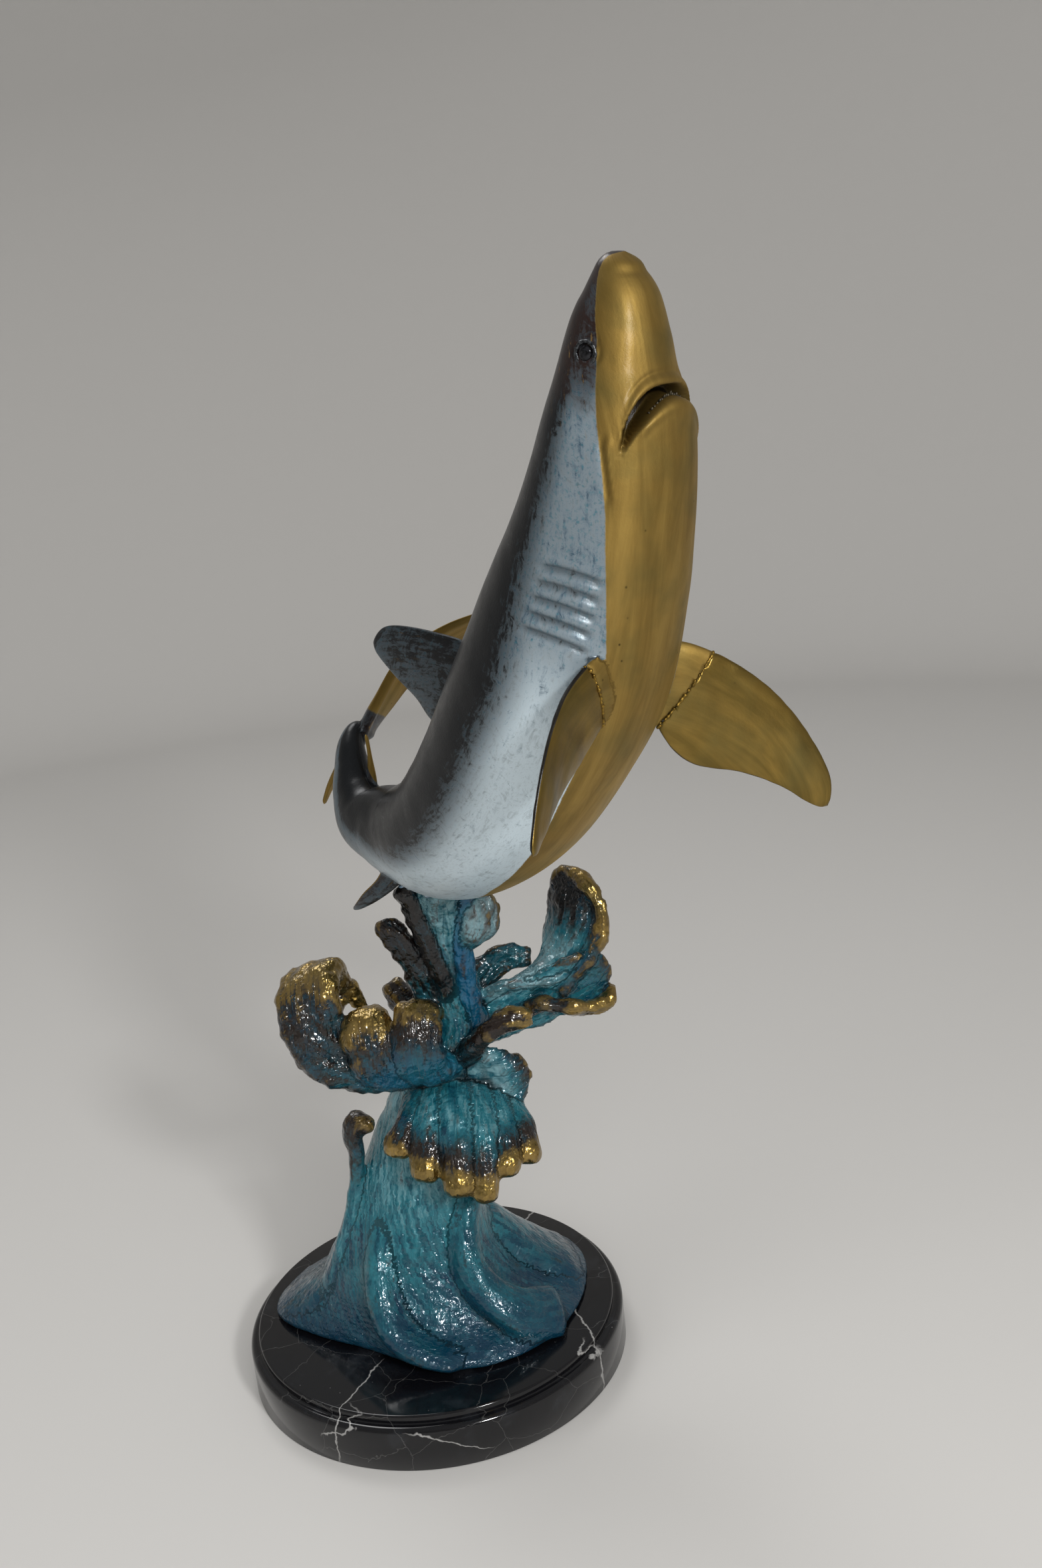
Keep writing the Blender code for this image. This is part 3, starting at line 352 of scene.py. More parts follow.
def skinMaterial():
    # Lacquered bronze, torch patinated on the back and flanks: blue black above, pale blue grey mottling with
    # green specks below it, and a sharp line where the bare polished belly begins.
    # painted shade darkens the gill grooves and the open mouth
    look = {"pale": "#BAC8CF", "grey": "#3A4D5A", "deep": "#05080C", "teal": "#1F6B78", "rust": "#2A1913",
            "scratch": "#A08048", "mouth": "#1B140A", "mottle": 11.0, "brush": 3.4, "brushStretch": 6.0,
            "speck": 2.6, "lineWander": 1.1, "darkFray": 3.4}
    material, tree, shader = newMaterial("lacquered_patinated_bronze")
    flow = addNode(tree, "Attribute", out="Vector", attribute_name="flow")
    read = {name: addNode(tree, "Attribute", out="Fac", attribute_name=name)
            for name in ("paint", "dark", "pale", "rust", "pit")}
    mottle = addNode(tree, "TexNoise", {"Vector": flow, "Scale": 1 / look["mottle"], "Detail": 8.0,
                                        "Roughness": 0.8, "Distortion": 1.1})
    speck = addNode(tree, "TexNoise", {"Vector": flow, "Scale": 1 / look["speck"],
                                       "Detail": 3.0, "Roughness": 0.6})
    # the patina is stippled and then brushed along the body
    squeeze = (1 / look["brushStretch"], 1.0, 1.0)
    drawn = addNode(tree, "VectorMath", {0: flow, 1: squeeze}, operation="MULTIPLY")
    brush = addNode(tree, "TexNoise", {"Vector": drawn, "Scale": 1 / look["brush"],
                                       "Detail": 5.0, "Roughness": 0.7})
    tone = addNode(tree, "Mix", {0: 0.4, 2: mottle, 3: brush})
    lift = addNode(tree, "Math", {0: read["pale"], 1: 0.2, 2: tone}, operation="MULTIPLY_ADD")
    colour = layer(tree, look["grey"], look["pale"], lift, 0.4, 0.68)
    specks = addNode(tree, "Math", {0: read["pale"], 1: -0.25, 2: speck}, operation="MULTIPLY_ADD")
    colour = layer(tree, colour, look["teal"], specks, 0.54, 0.68, 0.5)
    # blue black patina over the back; the same layer paints shade into the gill grooves
    colour = layer(tree, colour, look["deep"], broken(tree, read["dark"], tone, look["darkFray"]), 0.05, 1.0)
    warm = addNode(tree, "Math", {0: read["rust"], 1: mottle}, operation="MULTIPLY")
    colour = layer(tree, colour, look["rust"], warm, 0.2, 0.6)
    # bare metal shows in short scratches beside the belly's edge
    scratch = addNode(tree, "MapRange", {"Value": brush, "From Min": 0.62, "From Max": 0.7})
    scratch = addNode(tree, "Math", {0: scratch, 1: read["rust"]}, operation="MULTIPLY")
    colour = layer(tree, colour, look["scratch"], scratch)
    gold, goldRough, _ = goldColours(tree, flow, bronzeLook)
    edge = broken(tree, read["paint"], mottle, 2 * look["lineWander"])
    painted = addNode(tree, "MapRange", {"Value": edge, "From Min": -0.5, "From Max": 0.5})
    # the open mouth is painted near black over the gold, as the shade inside it
    colour = layer(tree, layer(tree, gold, look["mouth"], read["pit"]), colour, painted)
    metallic = addNode(tree, "MapRange", {"Value": painted, "To Min": 1.0, "To Max": 0.2})
    satin = addNode(tree, "MapRange", {"Value": mottle, "From Min": 0.3, "From Max": 0.7,
                                       "To Min": 0.24, "To Max": 0.4})
    rough = addNode(tree, "Mix", {0: painted, 2: goldRough, 3: satin})
    bump = castBump(tree, flow, bronzeLook)
    setInputs(tree, shader, {"Base Color": colour, "Metallic": metallic, "Roughness": rough, "Normal": bump,
                             "Coat Normal": bump, "Specular IOR Level": 0.35, "Coat Weight": 0.1,
                             "Coat Roughness": 0.24})
    return material


def waveMaterial():
    # Cast bronze, patinated in washes of copper nitrate and blue dye, then waxed: teal and deep blue with pale
    # brushed tracks along the flow, brown oxide on the curls and bare gold where they were rubbed back.
    look = {"teal": "#0C4C58", "deep": "#052B3F", "aqua": "#2B7580", "blue": "#064C6C", "pale": "#8B9CA0",
            "pool": "#042B40", "brown": "#1B120C", "dark": "#060709", "hollow": "#0C1A20",
            "track": 4.5, "trackStretch": 5.0, "wash": 30.0, "fine": 4.0, "fray": 2.3,
            "knob": 3.2, "knobHeight": -0.25, "swell": 5.5, "swellHeight": 1.5,
            "ripple": 4.0, "rippleHeight": 1.5}
    rubbed = {"streak": 5.0, "streakStretch": 3.0, "roughLow": 0.24, "roughHigh": 0.4}
    material, tree, shader = newMaterial("waxed_patinated_bronze")
    flow = addNode(tree, "Attribute", out="Vector", attribute_name="flow")
    read = {name: addNode(tree, "Attribute", out="Fac", attribute_name=name)
            for name in ("gold", "brown", "blue", "pale", "dark", "ridge", "hollow")}
    inMetres = addNode(tree, "TexCoord", out="Object")
    inMm = addNode(tree, "VectorMath", {0: inMetres, "Scale": 1 / mm}, operation="SCALE")
    squeeze = (1 / look["trackStretch"], 1.0, 1.0)
    drawn = addNode(tree, "VectorMath", {0: flow, 1: squeeze}, operation="MULTIPLY")
    tracks = addNode(tree, "TexNoise", {"Vector": drawn, "Scale": 1 / look["track"], "Detail": 5.0,
                                        "Roughness": 0.6, "Distortion": 0.7})
    wash = addNode(tree, "TexNoise", {"Vector": inMm, "Scale": 1 / look["wash"],
                                      "Detail": 5.0, "Roughness": 0.6})
    fine = addNode(tree, "TexNoise", {"Vector": inMm, "Scale": 1 / look["fine"],
                                      "Detail": 4.0, "Roughness": 0.7})
    blend = addNode(tree, "Mix", {0: 0.7, 2: fine, 3: tracks})
    colour = layer(tree, look["deep"], look["teal"], wash, 0.34, 0.64)
    foam = addNode(tree, "Math", {0: read["pale"], 1: 0.3, 2: tracks}, operation="MULTIPLY_ADD")
    colour = layer(tree, colour, look["aqua"], foam, 0.5, 0.76)
    colour = layer(tree, colour, look["pale"], broken(tree, read["pale"], tracks, 1.5), 0.45, 1.1, 0.9)
    # the dye ran down and pooled: the skirt is a deeper blue
    height = addNode(tree, "SeparateXYZ", {0: inMm}, "Z")
    pool = addNode(tree, "Math", {0: tracks, 1: 60.0, 2: height}, operation="MULTIPLY_ADD")
    colour = layer(tree, colour, look["pool"], pool, 150.0, 80.0, 0.85)
    for name, strength in (("blue", 0.8), ("brown", 1.5), ("dark", 1.4)):
        mask = broken(tree, read[name], blend, look["fray"])
        colour = layer(tree, colour, look[name], mask, 0.2, 0.2 + 0.7 / strength)
    # painted shade darkens the valleys between the tongues, and worn ridges are rubbed through brown to bare
    # gold
    colour = layer(tree, colour, look["hollow"], broken(tree, read["hollow"], blend, 1.2), 0.15, 0.75, 0.88)
    gold, goldRough, _ = goldColours(tree, flow, {**bronzeLook, **rubbed})
    worn = addNode(tree, "MapRange",
                   {"Value": read["ridge"], "From Min": 0.05, "From Max": 0.5, "To Max": 0.35})
    rub = addNode(tree, "Math", {0: broken(tree, read["gold"], blend, 1.2), 1: worn}, operation="ADD")
    colour = layer(tree, colour, look["brown"], rub, 0.18, 0.52, 0.9)
    bare = addNode(tree, "MapRange", {"Value": rub, "From Min": 0.46, "From Max": 0.86})
    colour = layer(tree, colour, gold, bare)
    metallic = addNode(tree, "MapRange", {"Value": bare, "To Min": 0.15, "To Max": 1.0})
    satin = addNode(tree, "MapRange", {"Value": tracks, "From Min": 0.3, "From Max": 0.7,
                                       "To Min": 0.22, "To Max": 0.4})
    rough = addNode(tree, "Mix", {0: bare, 2: satin, 3: goldRough})
    # knobbly cast surface over grooves drawn along the flow, calmer on the skirt
    knobs = addNode(tree, "TexVoronoi", {"Vector": inMm, "Scale": 1 / look["knob"], "Smoothness": 0.7},
                    feature="SMOOTH_F1")
    grain = 0.0
    for pattern, name in ((None, "ripple"), (None, "swell"), (knobs, "knob")):
        if pattern is None:
            pattern = addNode(tree, "TexNoise", {"Vector": drawn if name == "ripple" else inMm,
                                                 "Scale": 1 / look[name], "Detail": 1.0})
        grain = addNode(tree, "Math", {0: pattern, 1: look[name + "Height"] * mm, 2: grain},
                        operation="MULTIPLY_ADD")
    calm = addNode(tree, "MapRange", {"Value": height, "From Min": 150.0, "From Max": 250.0,
                                      "To Min": 0.7, "To Max": 1.1})
    grain = addNode(tree, "Math", {0: grain, 1: calm}, operation="MULTIPLY")
    bump = addNode(tree, "Bump", {"Strength": 1.0, "Distance": 1.0, "Height": grain})
    setInputs(tree, shader, {"Base Color": colour, "Metallic": metallic, "Roughness": rough, "Normal": bump,
                             "Coat Normal": bump, "Specular IOR Level": 0.3, "Coat Weight": 0.55,
                             "Coat Roughness": 0.05})
    return material


def finMaterial():
    # The same bronze on the pectorals: bare and satin below, dark patina above, with shallow dents.
    look = {**bronzeLook, "light": "#977C3E", "dark": "#74602D", "top": "#16110C", "roughLow": 0.27,
            "roughHigh": 0.4, "pit": 2.2, "pitDepth": 0.14, "swell": 34.0, "swellDepth": 5.0}
    material, tree, shader = newMaterial("satin_polished_bronze")
    flow = addNode(tree, "Attribute", out="Vector", attribute_name="flow")
    top = addNode(tree, "Attribute", out="Fac", attribute_name="dark")
    gold, goldRough, streaks = goldColours(tree, flow, look)
    painted = addNode(tree, "MapRange",
                      {"Value": broken(tree, top, streaks, 0.8), "From Min": 0.4, "From Max": 0.6})
    colour = layer(tree, gold, look["top"], painted)
    metallic = addNode(tree, "MapRange", {"Value": painted, "To Min": 1.0, "To Max": 0.4})
    setInputs(tree, shader, {"Base Color": colour, "Metallic": metallic, "Roughness": goldRough,
                             "Normal": castBump(tree, flow, look),
                             "Coat Weight": 0.14, "Coat Roughness": 0.16})
    return material


def marbleMaterial():
    # Black marble, ground and polished: near black with thin white calcite veins, pale clouds and specks.
    look = {"ground": "#0A0A0D", "vein": "#8F8E8C", "cloud": "#2E3136",
            "bend": 16.0, "bendSize": 28.0, "hairPitch": 60.0, "speckPitch": 9.0, "cloudSize": 40.0,
            # veins: a point on it, the way it faces, middle and reach of the part that shows, half width
            "veins": [((-70, -128, 45), (0.87, -0.49, 0.0), (-70, -120, 35), 52, 0.55),
                      ((-74, -150, 30), (-0.6, -0.3, 0.75), (-74, -150, 30), 26, 0.4),
                      ((126, -53, 45), (0.95, 0.31, 0.0), (128, -55, 45), 78, 0.6),
                      ((128, -97, 40), (0.6, -0.2, 0.77), (122, -104, 32), 30, 0.45),
                      ((20, -160, 20), (0.3, 0.2, 0.93), (10, -150, 20), 40, 0.3),
                      ((-60, 120, 30), (0.7, 0.5, 0.5), (-60, 130, 30), 70, 0.5),
                      ((80, 130, 30), (-0.6, 0.5, 0.6), (80, 130, 30), 60, 0.5)]}
    material, tree, shader = newMaterial("polished_black_marble")
    inMetres = addNode(tree, "TexCoord", out="Object")
    at = addNode(tree, "VectorMath", {0: inMetres, "Scale": 1 / mm}, operation="SCALE")
    bend = addNode(tree, "TexNoise", {"Vector": at, "Scale": 1 / look["bendSize"], "Detail": 4.0,
                                      "Roughness": 0.6}, "Color")
    bend = addNode(tree, "VectorMath", {0: bend, 1: (0.5, 0.5, 0.5)}, operation="SUBTRACT")
    warped = addNode(tree, "VectorMath", {0: bend, 1: [look["bend"]] * 3, 2: at}, operation="MULTIPLY_ADD")
    hair = addNode(tree, "TexVoronoi", {"Vector": warped, "Scale": 1 / look["hairPitch"]},
                   feature="DISTANCE_TO_EDGE")
    hair = addNode(tree, "MapRange", {"Value": hair, "From Min": 0.0, "From Max": 0.006,
                                      "To Min": 0.16, "To Max": 0.0})
    speck = addNode(tree, "TexVoronoi", {"Vector": at, "Scale": 1 / look["speckPitch"]})
    speck = addNode(tree, "MapRange", {"Value": speck, "From Min": 0.02, "From Max": 0.07,
                                       "To Min": 0.7, "To Max": 0.0})
    some = addNode(tree, "TexNoise", {"Vector": at, "Scale": 1 / 22, "Detail": 2.0})
    some = addNode(tree, "MapRange", {"Value": some, "From Min": 0.52, "From Max": 0.62})
    speck = addNode(tree, "Math", {0: speck, 1: some}, operation="MULTIPLY")
    total = addNode(tree, "Math", {0: hair, 1: speck}, operation="MAXIMUM")
    for point, normal, middle, reach, width in look["veins"]:
        normal = Vector(normal).normalized()
        offset = addNode(tree, "VectorMath", {0: warped, 1: normal}, "Value", operation="DOT_PRODUCT")
        offset = addNode(tree, "Math", {0: offset, 1: Vector(point).dot(normal)}, operation="SUBTRACT")
        offset = addNode(tree, "Math", {0: offset}, operation="ABSOLUTE")
        line = addNode(tree, "MapRange", {"Value": offset, "From Min": width * 0.5, "From Max": width + 0.4,
                                          "To Min": 1.0, "To Max": 0.0})
        away = addNode(tree, "VectorMath", {0: at, 1: middle}, "Value", operation="DISTANCE")
        near = addNode(tree, "MapRange", {"Value": away, "From Min": reach * 0.7, "From Max": reach,
                                          "To Min": 1.0, "To Max": 0.0})
        line = addNode(tree, "Math", {0: line, 1: near}, operation="MULTIPLY")
        total = addNode(tree, "Math", {0: line, 1: total}, operation="MAXIMUM")
    cloud = addNode(tree, "TexNoise", {"Vector": at, "Scale": 1 / look["cloudSize"], "Detail": 6.0,
                                       "Roughness": 0.65})
    cloud = addNode(tree, "MapRange", {"Value": cloud, "From Min": 0.56, "From Max": 0.8, "To Max": 0.7})
    colour = layer(tree, layer(tree, look["ground"], look["cloud"], cloud), look["vein"], total)
    rough = addNode(tree, "MapRange", {"Value": cloud, "To Min": 0.1, "To Max": 0.22})
    setInputs(tree, shader, {"Base Color": colour, "Roughness": rough})
    return material


def plainMetal(name, light, dark, size, roughLow, roughHigh, metallic=1.0):
    # a metal or a metal under patina, with clouds of this size in millimetres between two tones
    material, tree, shader = newMaterial(name)
    at = addNode(tree, "TexCoord", out="Object")
    cloud = addNode(tree, "TexNoise",
                    {"Vector": at, "Scale": 1 / (size * mm), "Detail": 4.0, "Roughness": 0.6})
    part = addNode(tree, "MapRange", {"Value": cloud, "From Min": 0.35, "From Max": 0.65})
    rough = addNode(tree, "MapRange", {"Value": part, "To Min": roughLow, "To Max": roughHigh})
    height = addNode(tree, "Math", {0: cloud, 1: size * 0.05 * mm}, operation="MULTIPLY")
    bump = addNode(tree, "Bump", {"Strength": 0.6, "Distance": 1.0, "Height": height})
    setInputs(tree, shader, {"Base Color": layer(tree, dark, light, part), "Roughness": rough, "Normal": bump,
                             "Metallic": metallic})
    return material


skinFinish, waveFinish = skinMaterial(), waveMaterial()
finFinish, marbleFinish = finMaterial(), marbleMaterial()
# Zinc plated steel: a cool grey with soft spangle
zincFinish = plainMetal("zinc_plated_steel", "#C4C6C8", "#8E9194", 3.0, 0.3, 0.45)
# Blackened bronze, burnished on the high spots: the eye bead
eyeFinish = plainMetal("burnished_black_bronze", "#2B2B2E", "#08080A", 2.0, 0.1, 0.2, 0.6)
# The eye's ring, bright metal showing through a black patina in glints
ringFinish = plainMetal("rubbed_black_patina", "#5E6164", "#0E0F12", 2.2, 0.2, 0.4, 0.8)
# Tarnished bronze teeth: a dull warm grey, darkened further with painted shade from the mouth round them
toothFinish = plainMetal("tarnished_shaded_bronze", "#4C4433", "#1E1A11", 2.0, 0.3, 0.5, 0.6)
# Fin welds, dressed with a file: gold brown with dark pits
dressedFinish = plainMetal("filed_bronze_weld", "#A88840", "#5C4A24", 4.0, 0.4, 0.55)
# Bright weld metal under blue lacquer
weldFinish = plainMetal("lacquered_weld", "#B9C6CF", "#4B6C86", 5.0, 0.14, 0.3, 0.6)
print("materials made")

shark = {
    # spine: forward, left, height, half width, depth to the back, depth to the belly
    "spine": [
        (310, 0, 849, 1, 1, 1), (308.5, 0, 846, 11, 10, 10.5), (305.5, 0, 838, 17.5, 16, 16.5),
        (303.5, 0, 822, 25.5, 25, 25), (300, 0, 803, 32, 31.5, 31.5), (297, 0, 783, 37.5, 36.5, 36),
        (294, 0, 763, 43.5, 41.5, 45), (290, 0, 743, 49, 45.5, 51.5), (285, 0, 722, 52.5, 49.5, 54.5),
        (279, 0, 701, 56, 53.5, 57), (272, 0, 680, 59, 58, 59.5), (262, 0, 654, 63.5, 63.5, 63),
        (247, 0, 621, 68, 69, 68), (228, 0, 585, 71, 72, 71), (204, 0, 552, 71, 71, 71),
        (166, 0, 504, 68, 68, 68), (124, 0, 466, 61, 62, 60), (88, 0, 447, 52, 55, 50),
        (43, 4, 439, 40, 43, 38), (15, 5, 441, 33, 35, 33), (-12, 5, 447, 25, 27.5, 27),
        (-29, 10, 463, 18, 20.5, 21), (-39, 18, 480, 14, 16, 17.5), (-47, 26, 496, 11, 12, 13),
        (-51, 36, 507, 8, 8, 8.5), (-52, 46, 511, 4.5, 5, 5)],
    "squareness": 2.15, "headTwist": -5.5, "twistLength": 220.0, "segments": 192,
    # the line between patina and bare belly: distance behind the nose, angle from the throat's middle
    "paintLine": [(0, 114), (9, 108), (22, 94), (38, 85), (48, 79), (64, 75), (76, 73), (88, 70), (113, 62),
                  (145, 53), (166, 49), (198, 42), (222, 37), (250, 33), (330, 30), (440, 23), (490, 3),
                  (520, 0)],
    # curves round the throat: front, corners, reach in degrees, squareness
    "outerLip": (70, 131, 55, 3), "opening": (75.5, 127, 50.5, 3), "lowerLip": (82.5, 128, 51.5, 1.9),
    "mouthDepth": 13.0, "lipHeight": 1.3, "lipGroove": 0.9, "jawHeight": 2.2, "chinHeight": 3.6,
    "foldAngle": 62, "foldHeight": 1.3, "foldDepth": 2.0, "cheekBack": 104.0, "cheekHeight": 1.2,
    "eyeBack": 57.5, "eyeAngle": 89.0, "socketDepth": 0.7,
    "nostrilBack": 50.0, "nostrilAngle": 85.0, "nostrilRim": 1.3, "nostrilDepth": 0.5,
    "gills": 5, "gillFirst": 183.0, "gillPitch": 10.4, "gillBend": 4.0, "gillFrom": 44.0, "gillTo": 91.0,
    "gillRim": 0.7, "gillDepth": 2.0, "unevenness": 0.45, "unevenSize": 38.0,
}
spine = np.array(shark["spine"])
spineLength = knotsOf(spine)[-1]


def bodyFrames(back):
    here = through(spine, back)
    ahead, behind = through(spine, np.maximum(back - 2, 0)), through(spine, np.minimum(back + 2, spineLength))
    tangent = unit(fromShark(behind[:, :3]) - fromShark(ahead[:, :3]))
    left = np.array([math.sqrt(0.5), math.sqrt(0.5), 0.0])
    left = unit(left - tangent * (tangent @ left)[:, None])
    fade = np.maximum(1 - back / shark["twistLength"], 0)
    turn = (np.radians(shark["headTwist"]) * fade**2 * (3 - 2 * fade))[:, None]
    left = left * np.cos(turn) + np.cross(tangent, left) * np.sin(turn)
    return fromShark(here[:, :3]), tangent, left, np.cross(tangent, left), here[:, 3:]


# Points on the skin; back and around are lists of the same length, around goes to the shark's right
def bodyPoints(back, around):
    back, around = np.atleast_1d(back).astype(float), np.atleast_1d(around).astype(float)
    centre, tangent, left, belly, sizes = bodyFrames(back)
    c, s = np.cos(np.radians(around)), np.sin(np.radians(around))
    depth = np.where(c > 0, sizes[:, 2], sizes[:, 1])
    power = shark["squareness"]
    reach = (np.abs(c / depth) ** power + np.abs(s / sizes[:, 0]) ** power) ** (-1 / power)
    outward = belly * c[:, None] - left * s[:, None]
    return centre + outward * reach[:, None], outward, reach, tangent


def lip(curve, around):
    front, corner, reach, power = curve
    rise = (1 - np.minimum(np.abs(around / reach), 1.0) ** power) ** (1 / power)
    return corner - (corner - front) * rise


# Mouth, chin, nostrils, cheeks and the hollows round the eyes
def headRelief(back, around, reach):
    side = np.abs(around)
    upper, lower, outer = (lip(shark[name], around) for name in ("opening", "lowerLip", "outerLip"))
    corner = (shark["opening"][2] - side) * reach * 0.017
    inside = np.minimum(np.minimum(back - upper, lower - back), corner)
    gape = ease(-0.4, 2.4, inside) * (1 - ease(44.5, 50.0, side))
    room = ease(0.5, 7.0, lower - upper)
    lift = -shark["mouthDepth"] * gape * room
    fade = 1 - ease(38.0, 54.0, side)
    lips = shark["lipHeight"] * bell(back - (upper - 2.8), 2.4)
    lips = lips - shark["lipGroove"] * bell(back - outer + 1.8, 1.5)
    lift += fade * lips * (1 - gape)
    lift += fade * shark["jawHeight"] * bell(back - (lower + 2.6), 3.4) * (1 - gape)
    lift += shark["chinHeight"] * bell(back - (lower + 7.0), 8.0) * bell(side, 27.0) * (1 - gape)
    # a fold runs back from the corner of the mouth
    fold = (side - shark["foldAngle"] + 9 * np.clip((back - 108) / 28, 0, 1)) * reach * perDegree
    run = ease(98, 112, back) * (1 - ease(130, 144, back))
    lift += run * (shark["foldHeight"] * bell(fold + 3.8, 2.4) - shark["foldDepth"] * bell(fold, 1.8))
    angle = perDegree * reach
    nose = np.hypot(back - shark["nostrilBack"], (side - shark["nostrilAngle"]) * angle)
    lift += shark["nostrilRim"] * bell(nose, 2.2) - shark["nostrilDepth"] * bell(nose - 4.0, 1.3)
    eye = np.hypot(back - shark["eyeBack"], (side - shark["eyeAngle"]) * angle)
    lift -= shark["socketDepth"] * bell(eye - 9.6, 1.6)
    lift += shark["cheekHeight"] * bell(back - shark["cheekBack"], 22.0) * bell(side - 86.0, 22.0)
    return lift, gape


def gillRelief(back, around):
    side = np.abs(around)
    window = ease(shark["gillFrom"], shark["gillFrom"] + 7, side)
    window = window * (1 - ease(shark["gillTo"] - 9, shark["gillTo"], side))
    lift, grooveShade = 0.0, 0.0
    for i in range(shark["gills"]):
        centre = shark["gillFirst"] + shark["gillPitch"] * i + shark["gillBend"] * ((side - 66) / 24) ** 2
        away = back - centre
        furrow = shark["gillRim"] * bell(away + 4.8, 2.8) - shark["gillDepth"] * bell(away, 2.3)
        lift = lift + window * furrow
        # the middle of each groove, which the skin's material darkens as painted shade
        grooveShade = grooveShade + window * bell(away, 2.8)
    return lift, grooveShade


# rings stand closest where the mouth and the gills are
rings = np.concatenate([12.0 * (np.arange(9) / 9) ** 2, np.arange(12, 60, 2.0), np.arange(60, 140, 1.0),
                        np.arange(140, 172, 2.0), np.arange(172, 238, 0.9),
                        np.linspace(238, spineLength, 184)])
turns = np.arange(shark["segments"]) * 360.0 / shark["segments"]
turns = np.where(turns > 180, turns - 360, turns)
back, around = (grid.ravel() for grid in np.meshgrid(rings, turns, indexing="ij"))
skin, outward, reach, _ = bodyPoints(back, around)
headLift, mouthOpen = headRelief(back, around, reach)
gillLift, gillShade = gillRelief(back, around)
calm = ease(0, 30, back) * (1 - ease(spineLength - 60, spineLength, back))
uneven = shark["unevenness"] * roughness(skin, shark["unevenSize"]) * calm
trunk = skin + outward * (headLift + gillLift + uneven)[:, None]
body = loft("shark_body_cast", trunk.reshape(len(rings), -1, 3))

# what the skin's material needs to know at each point
side = np.abs(around)
line = np.array(shark["paintLine"], float)
paint = (side - np.interp(back, line[:, 0], line[:, 1])) * reach * perDegree
head = 1 - ease(58, 125, back)
darkFrom = side - 10 * (1 - ease(150, 300, back))
bodyDark = np.maximum(ease(60, 114, darkFrom) * 1.35, 0.9 * head * ease(55, 80, side))
bodyDark = np.maximum(bodyDark, 0.34 * (1 - ease(180, 300, back)))
bodyDark = np.maximum(bodyDark, ease(480, 600, back) * 0.7)
# painted shade in the gill grooves
bodyDark = np.maximum(bodyDark, 0.72 * gillShade)
bodyPale = ease(210, 300, back) * (1 - ease(470, 580, back)) * (1 - ease(62, 96, side))
bodyRust = np.maximum(head * ease(55, 75, side) * 0.8, 0.5 * bell(paint, 4.0) * (1 - ease(130, 200, back)))
flow = np.stack([back, around * reach * perDegree, np.zeros_like(back)], -1)
# points and what is known at each: paint, dark with the painted gill shade, pale, rust, pit as the painted
# mouth shade, flow, number of the casting
cloud = [trunk]
values = [np.column_stack([paint, bodyDark, bodyPale, bodyRust, mouthOpen, flow, np.zeros(len(back))])]


# Fins: front edge, rear edge and thickness, from the root to the tip
fins = {
    "rings": 64, "points": 48, "frontFullness": 1.25, "rearFullness": 0.75, "stub": 14.0,
    "ribAt": 0.16, "ribWidth": 0.09, "tipRound": 1.6, "tipMost": 5.0,
    "dorsal": [((156, 0, 588), (118, 0, 522), 13), ((133, 0, 600), (88, 0, 536), 12),
               ((100, 0, 606), (72, 0, 553), 9), ((66, 0, 609), (52, 0, 568), 6.5),
               ((45, 0, 607), (37, 0, 581), 4.6), ((31, 0, 598), (29, 0, 590), 3)],
    "pelvic": [((74, 24, 426), (34, 18, 424), 8), ((54, 26, 408), (26, 24, 408), 5),
               ((28, 27, 391), (10, 27, 394), 3.6), ((4, 26, 379), (-4, 25, 382), 3),
               ((-10, 23, 374), (-12, 22, 376), 2.4)],
    "secondDorsal": [((-4, 28, 476), (4, 12, 462), 8), ((0, 27, 484), (6, 14, 470), 6),
                     ((1, 31, 497), (4, 22, 488), 3.4), ((0, 38, 511), (1.5, 32, 505), 3)],
    "upperLobe": [((-12, 50, 498), (2, 72, 496), 10), ((-3, 56, 514), (5, 84, 502), 8.5),
                  ((10, 62, 534), (22, 90, 519), 7), ((27, 66, 558), (38, 92, 535), 6.5),
                  ((46, 66, 574), (60, 92, 553), 6), ((76, 66, 588), (88, 92, 569), 5),
                  ((108, 72, 595), (116, 92, 582), 3.8), ((128, 86, 597), (130, 93, 592), 2.8)],
    "lowerLobe": [((-2, 58, 510), (2, 80, 500), 9), ((-18, 60, 496), (-10, 84, 486), 7),
                  ((-31, 68, 477), (-25, 87, 469), 5), ((-42, 79, 458), (-38, 89, 454), 3.8),
                  ((-50, 88, 440), (-48, 92, 438), 2.6)],
    "right": [((192, -200, 606), (196, -190, 560), 15), ((182, -236, 610), (184, -224, 564), 13),
              ((170, -251, 604), (172, -240, 553), 10.5), ((156, -266, 592), (162, -254, 543), 9),
              ((146, -283, 577), (152, -268, 534), 7.5), ((138, -298, 559), (144, -282, 526), 6.2),
              ((130, -312, 534), (135, -300, 514), 4.8), ((124, -321, 508), (127, -317, 504), 3.2)],
    "left": [((206, -152, 604), (198, -150, 548), 15), ((243, -150, 595), (220, -150, 538), 13),
             ((264, -146, 585), (231, -148, 519), 10), ((288, -139, 568), (248, -141, 503), 7.5),
             ((313, -131, 543), (281, -134, 492), 6), ((334, -125, 511), (309, -127, 477), 5),
             ((348, -120, 478), (331, -121, 460), 4), ((348, -118, 457), (343, -118, 453), 3)],
}


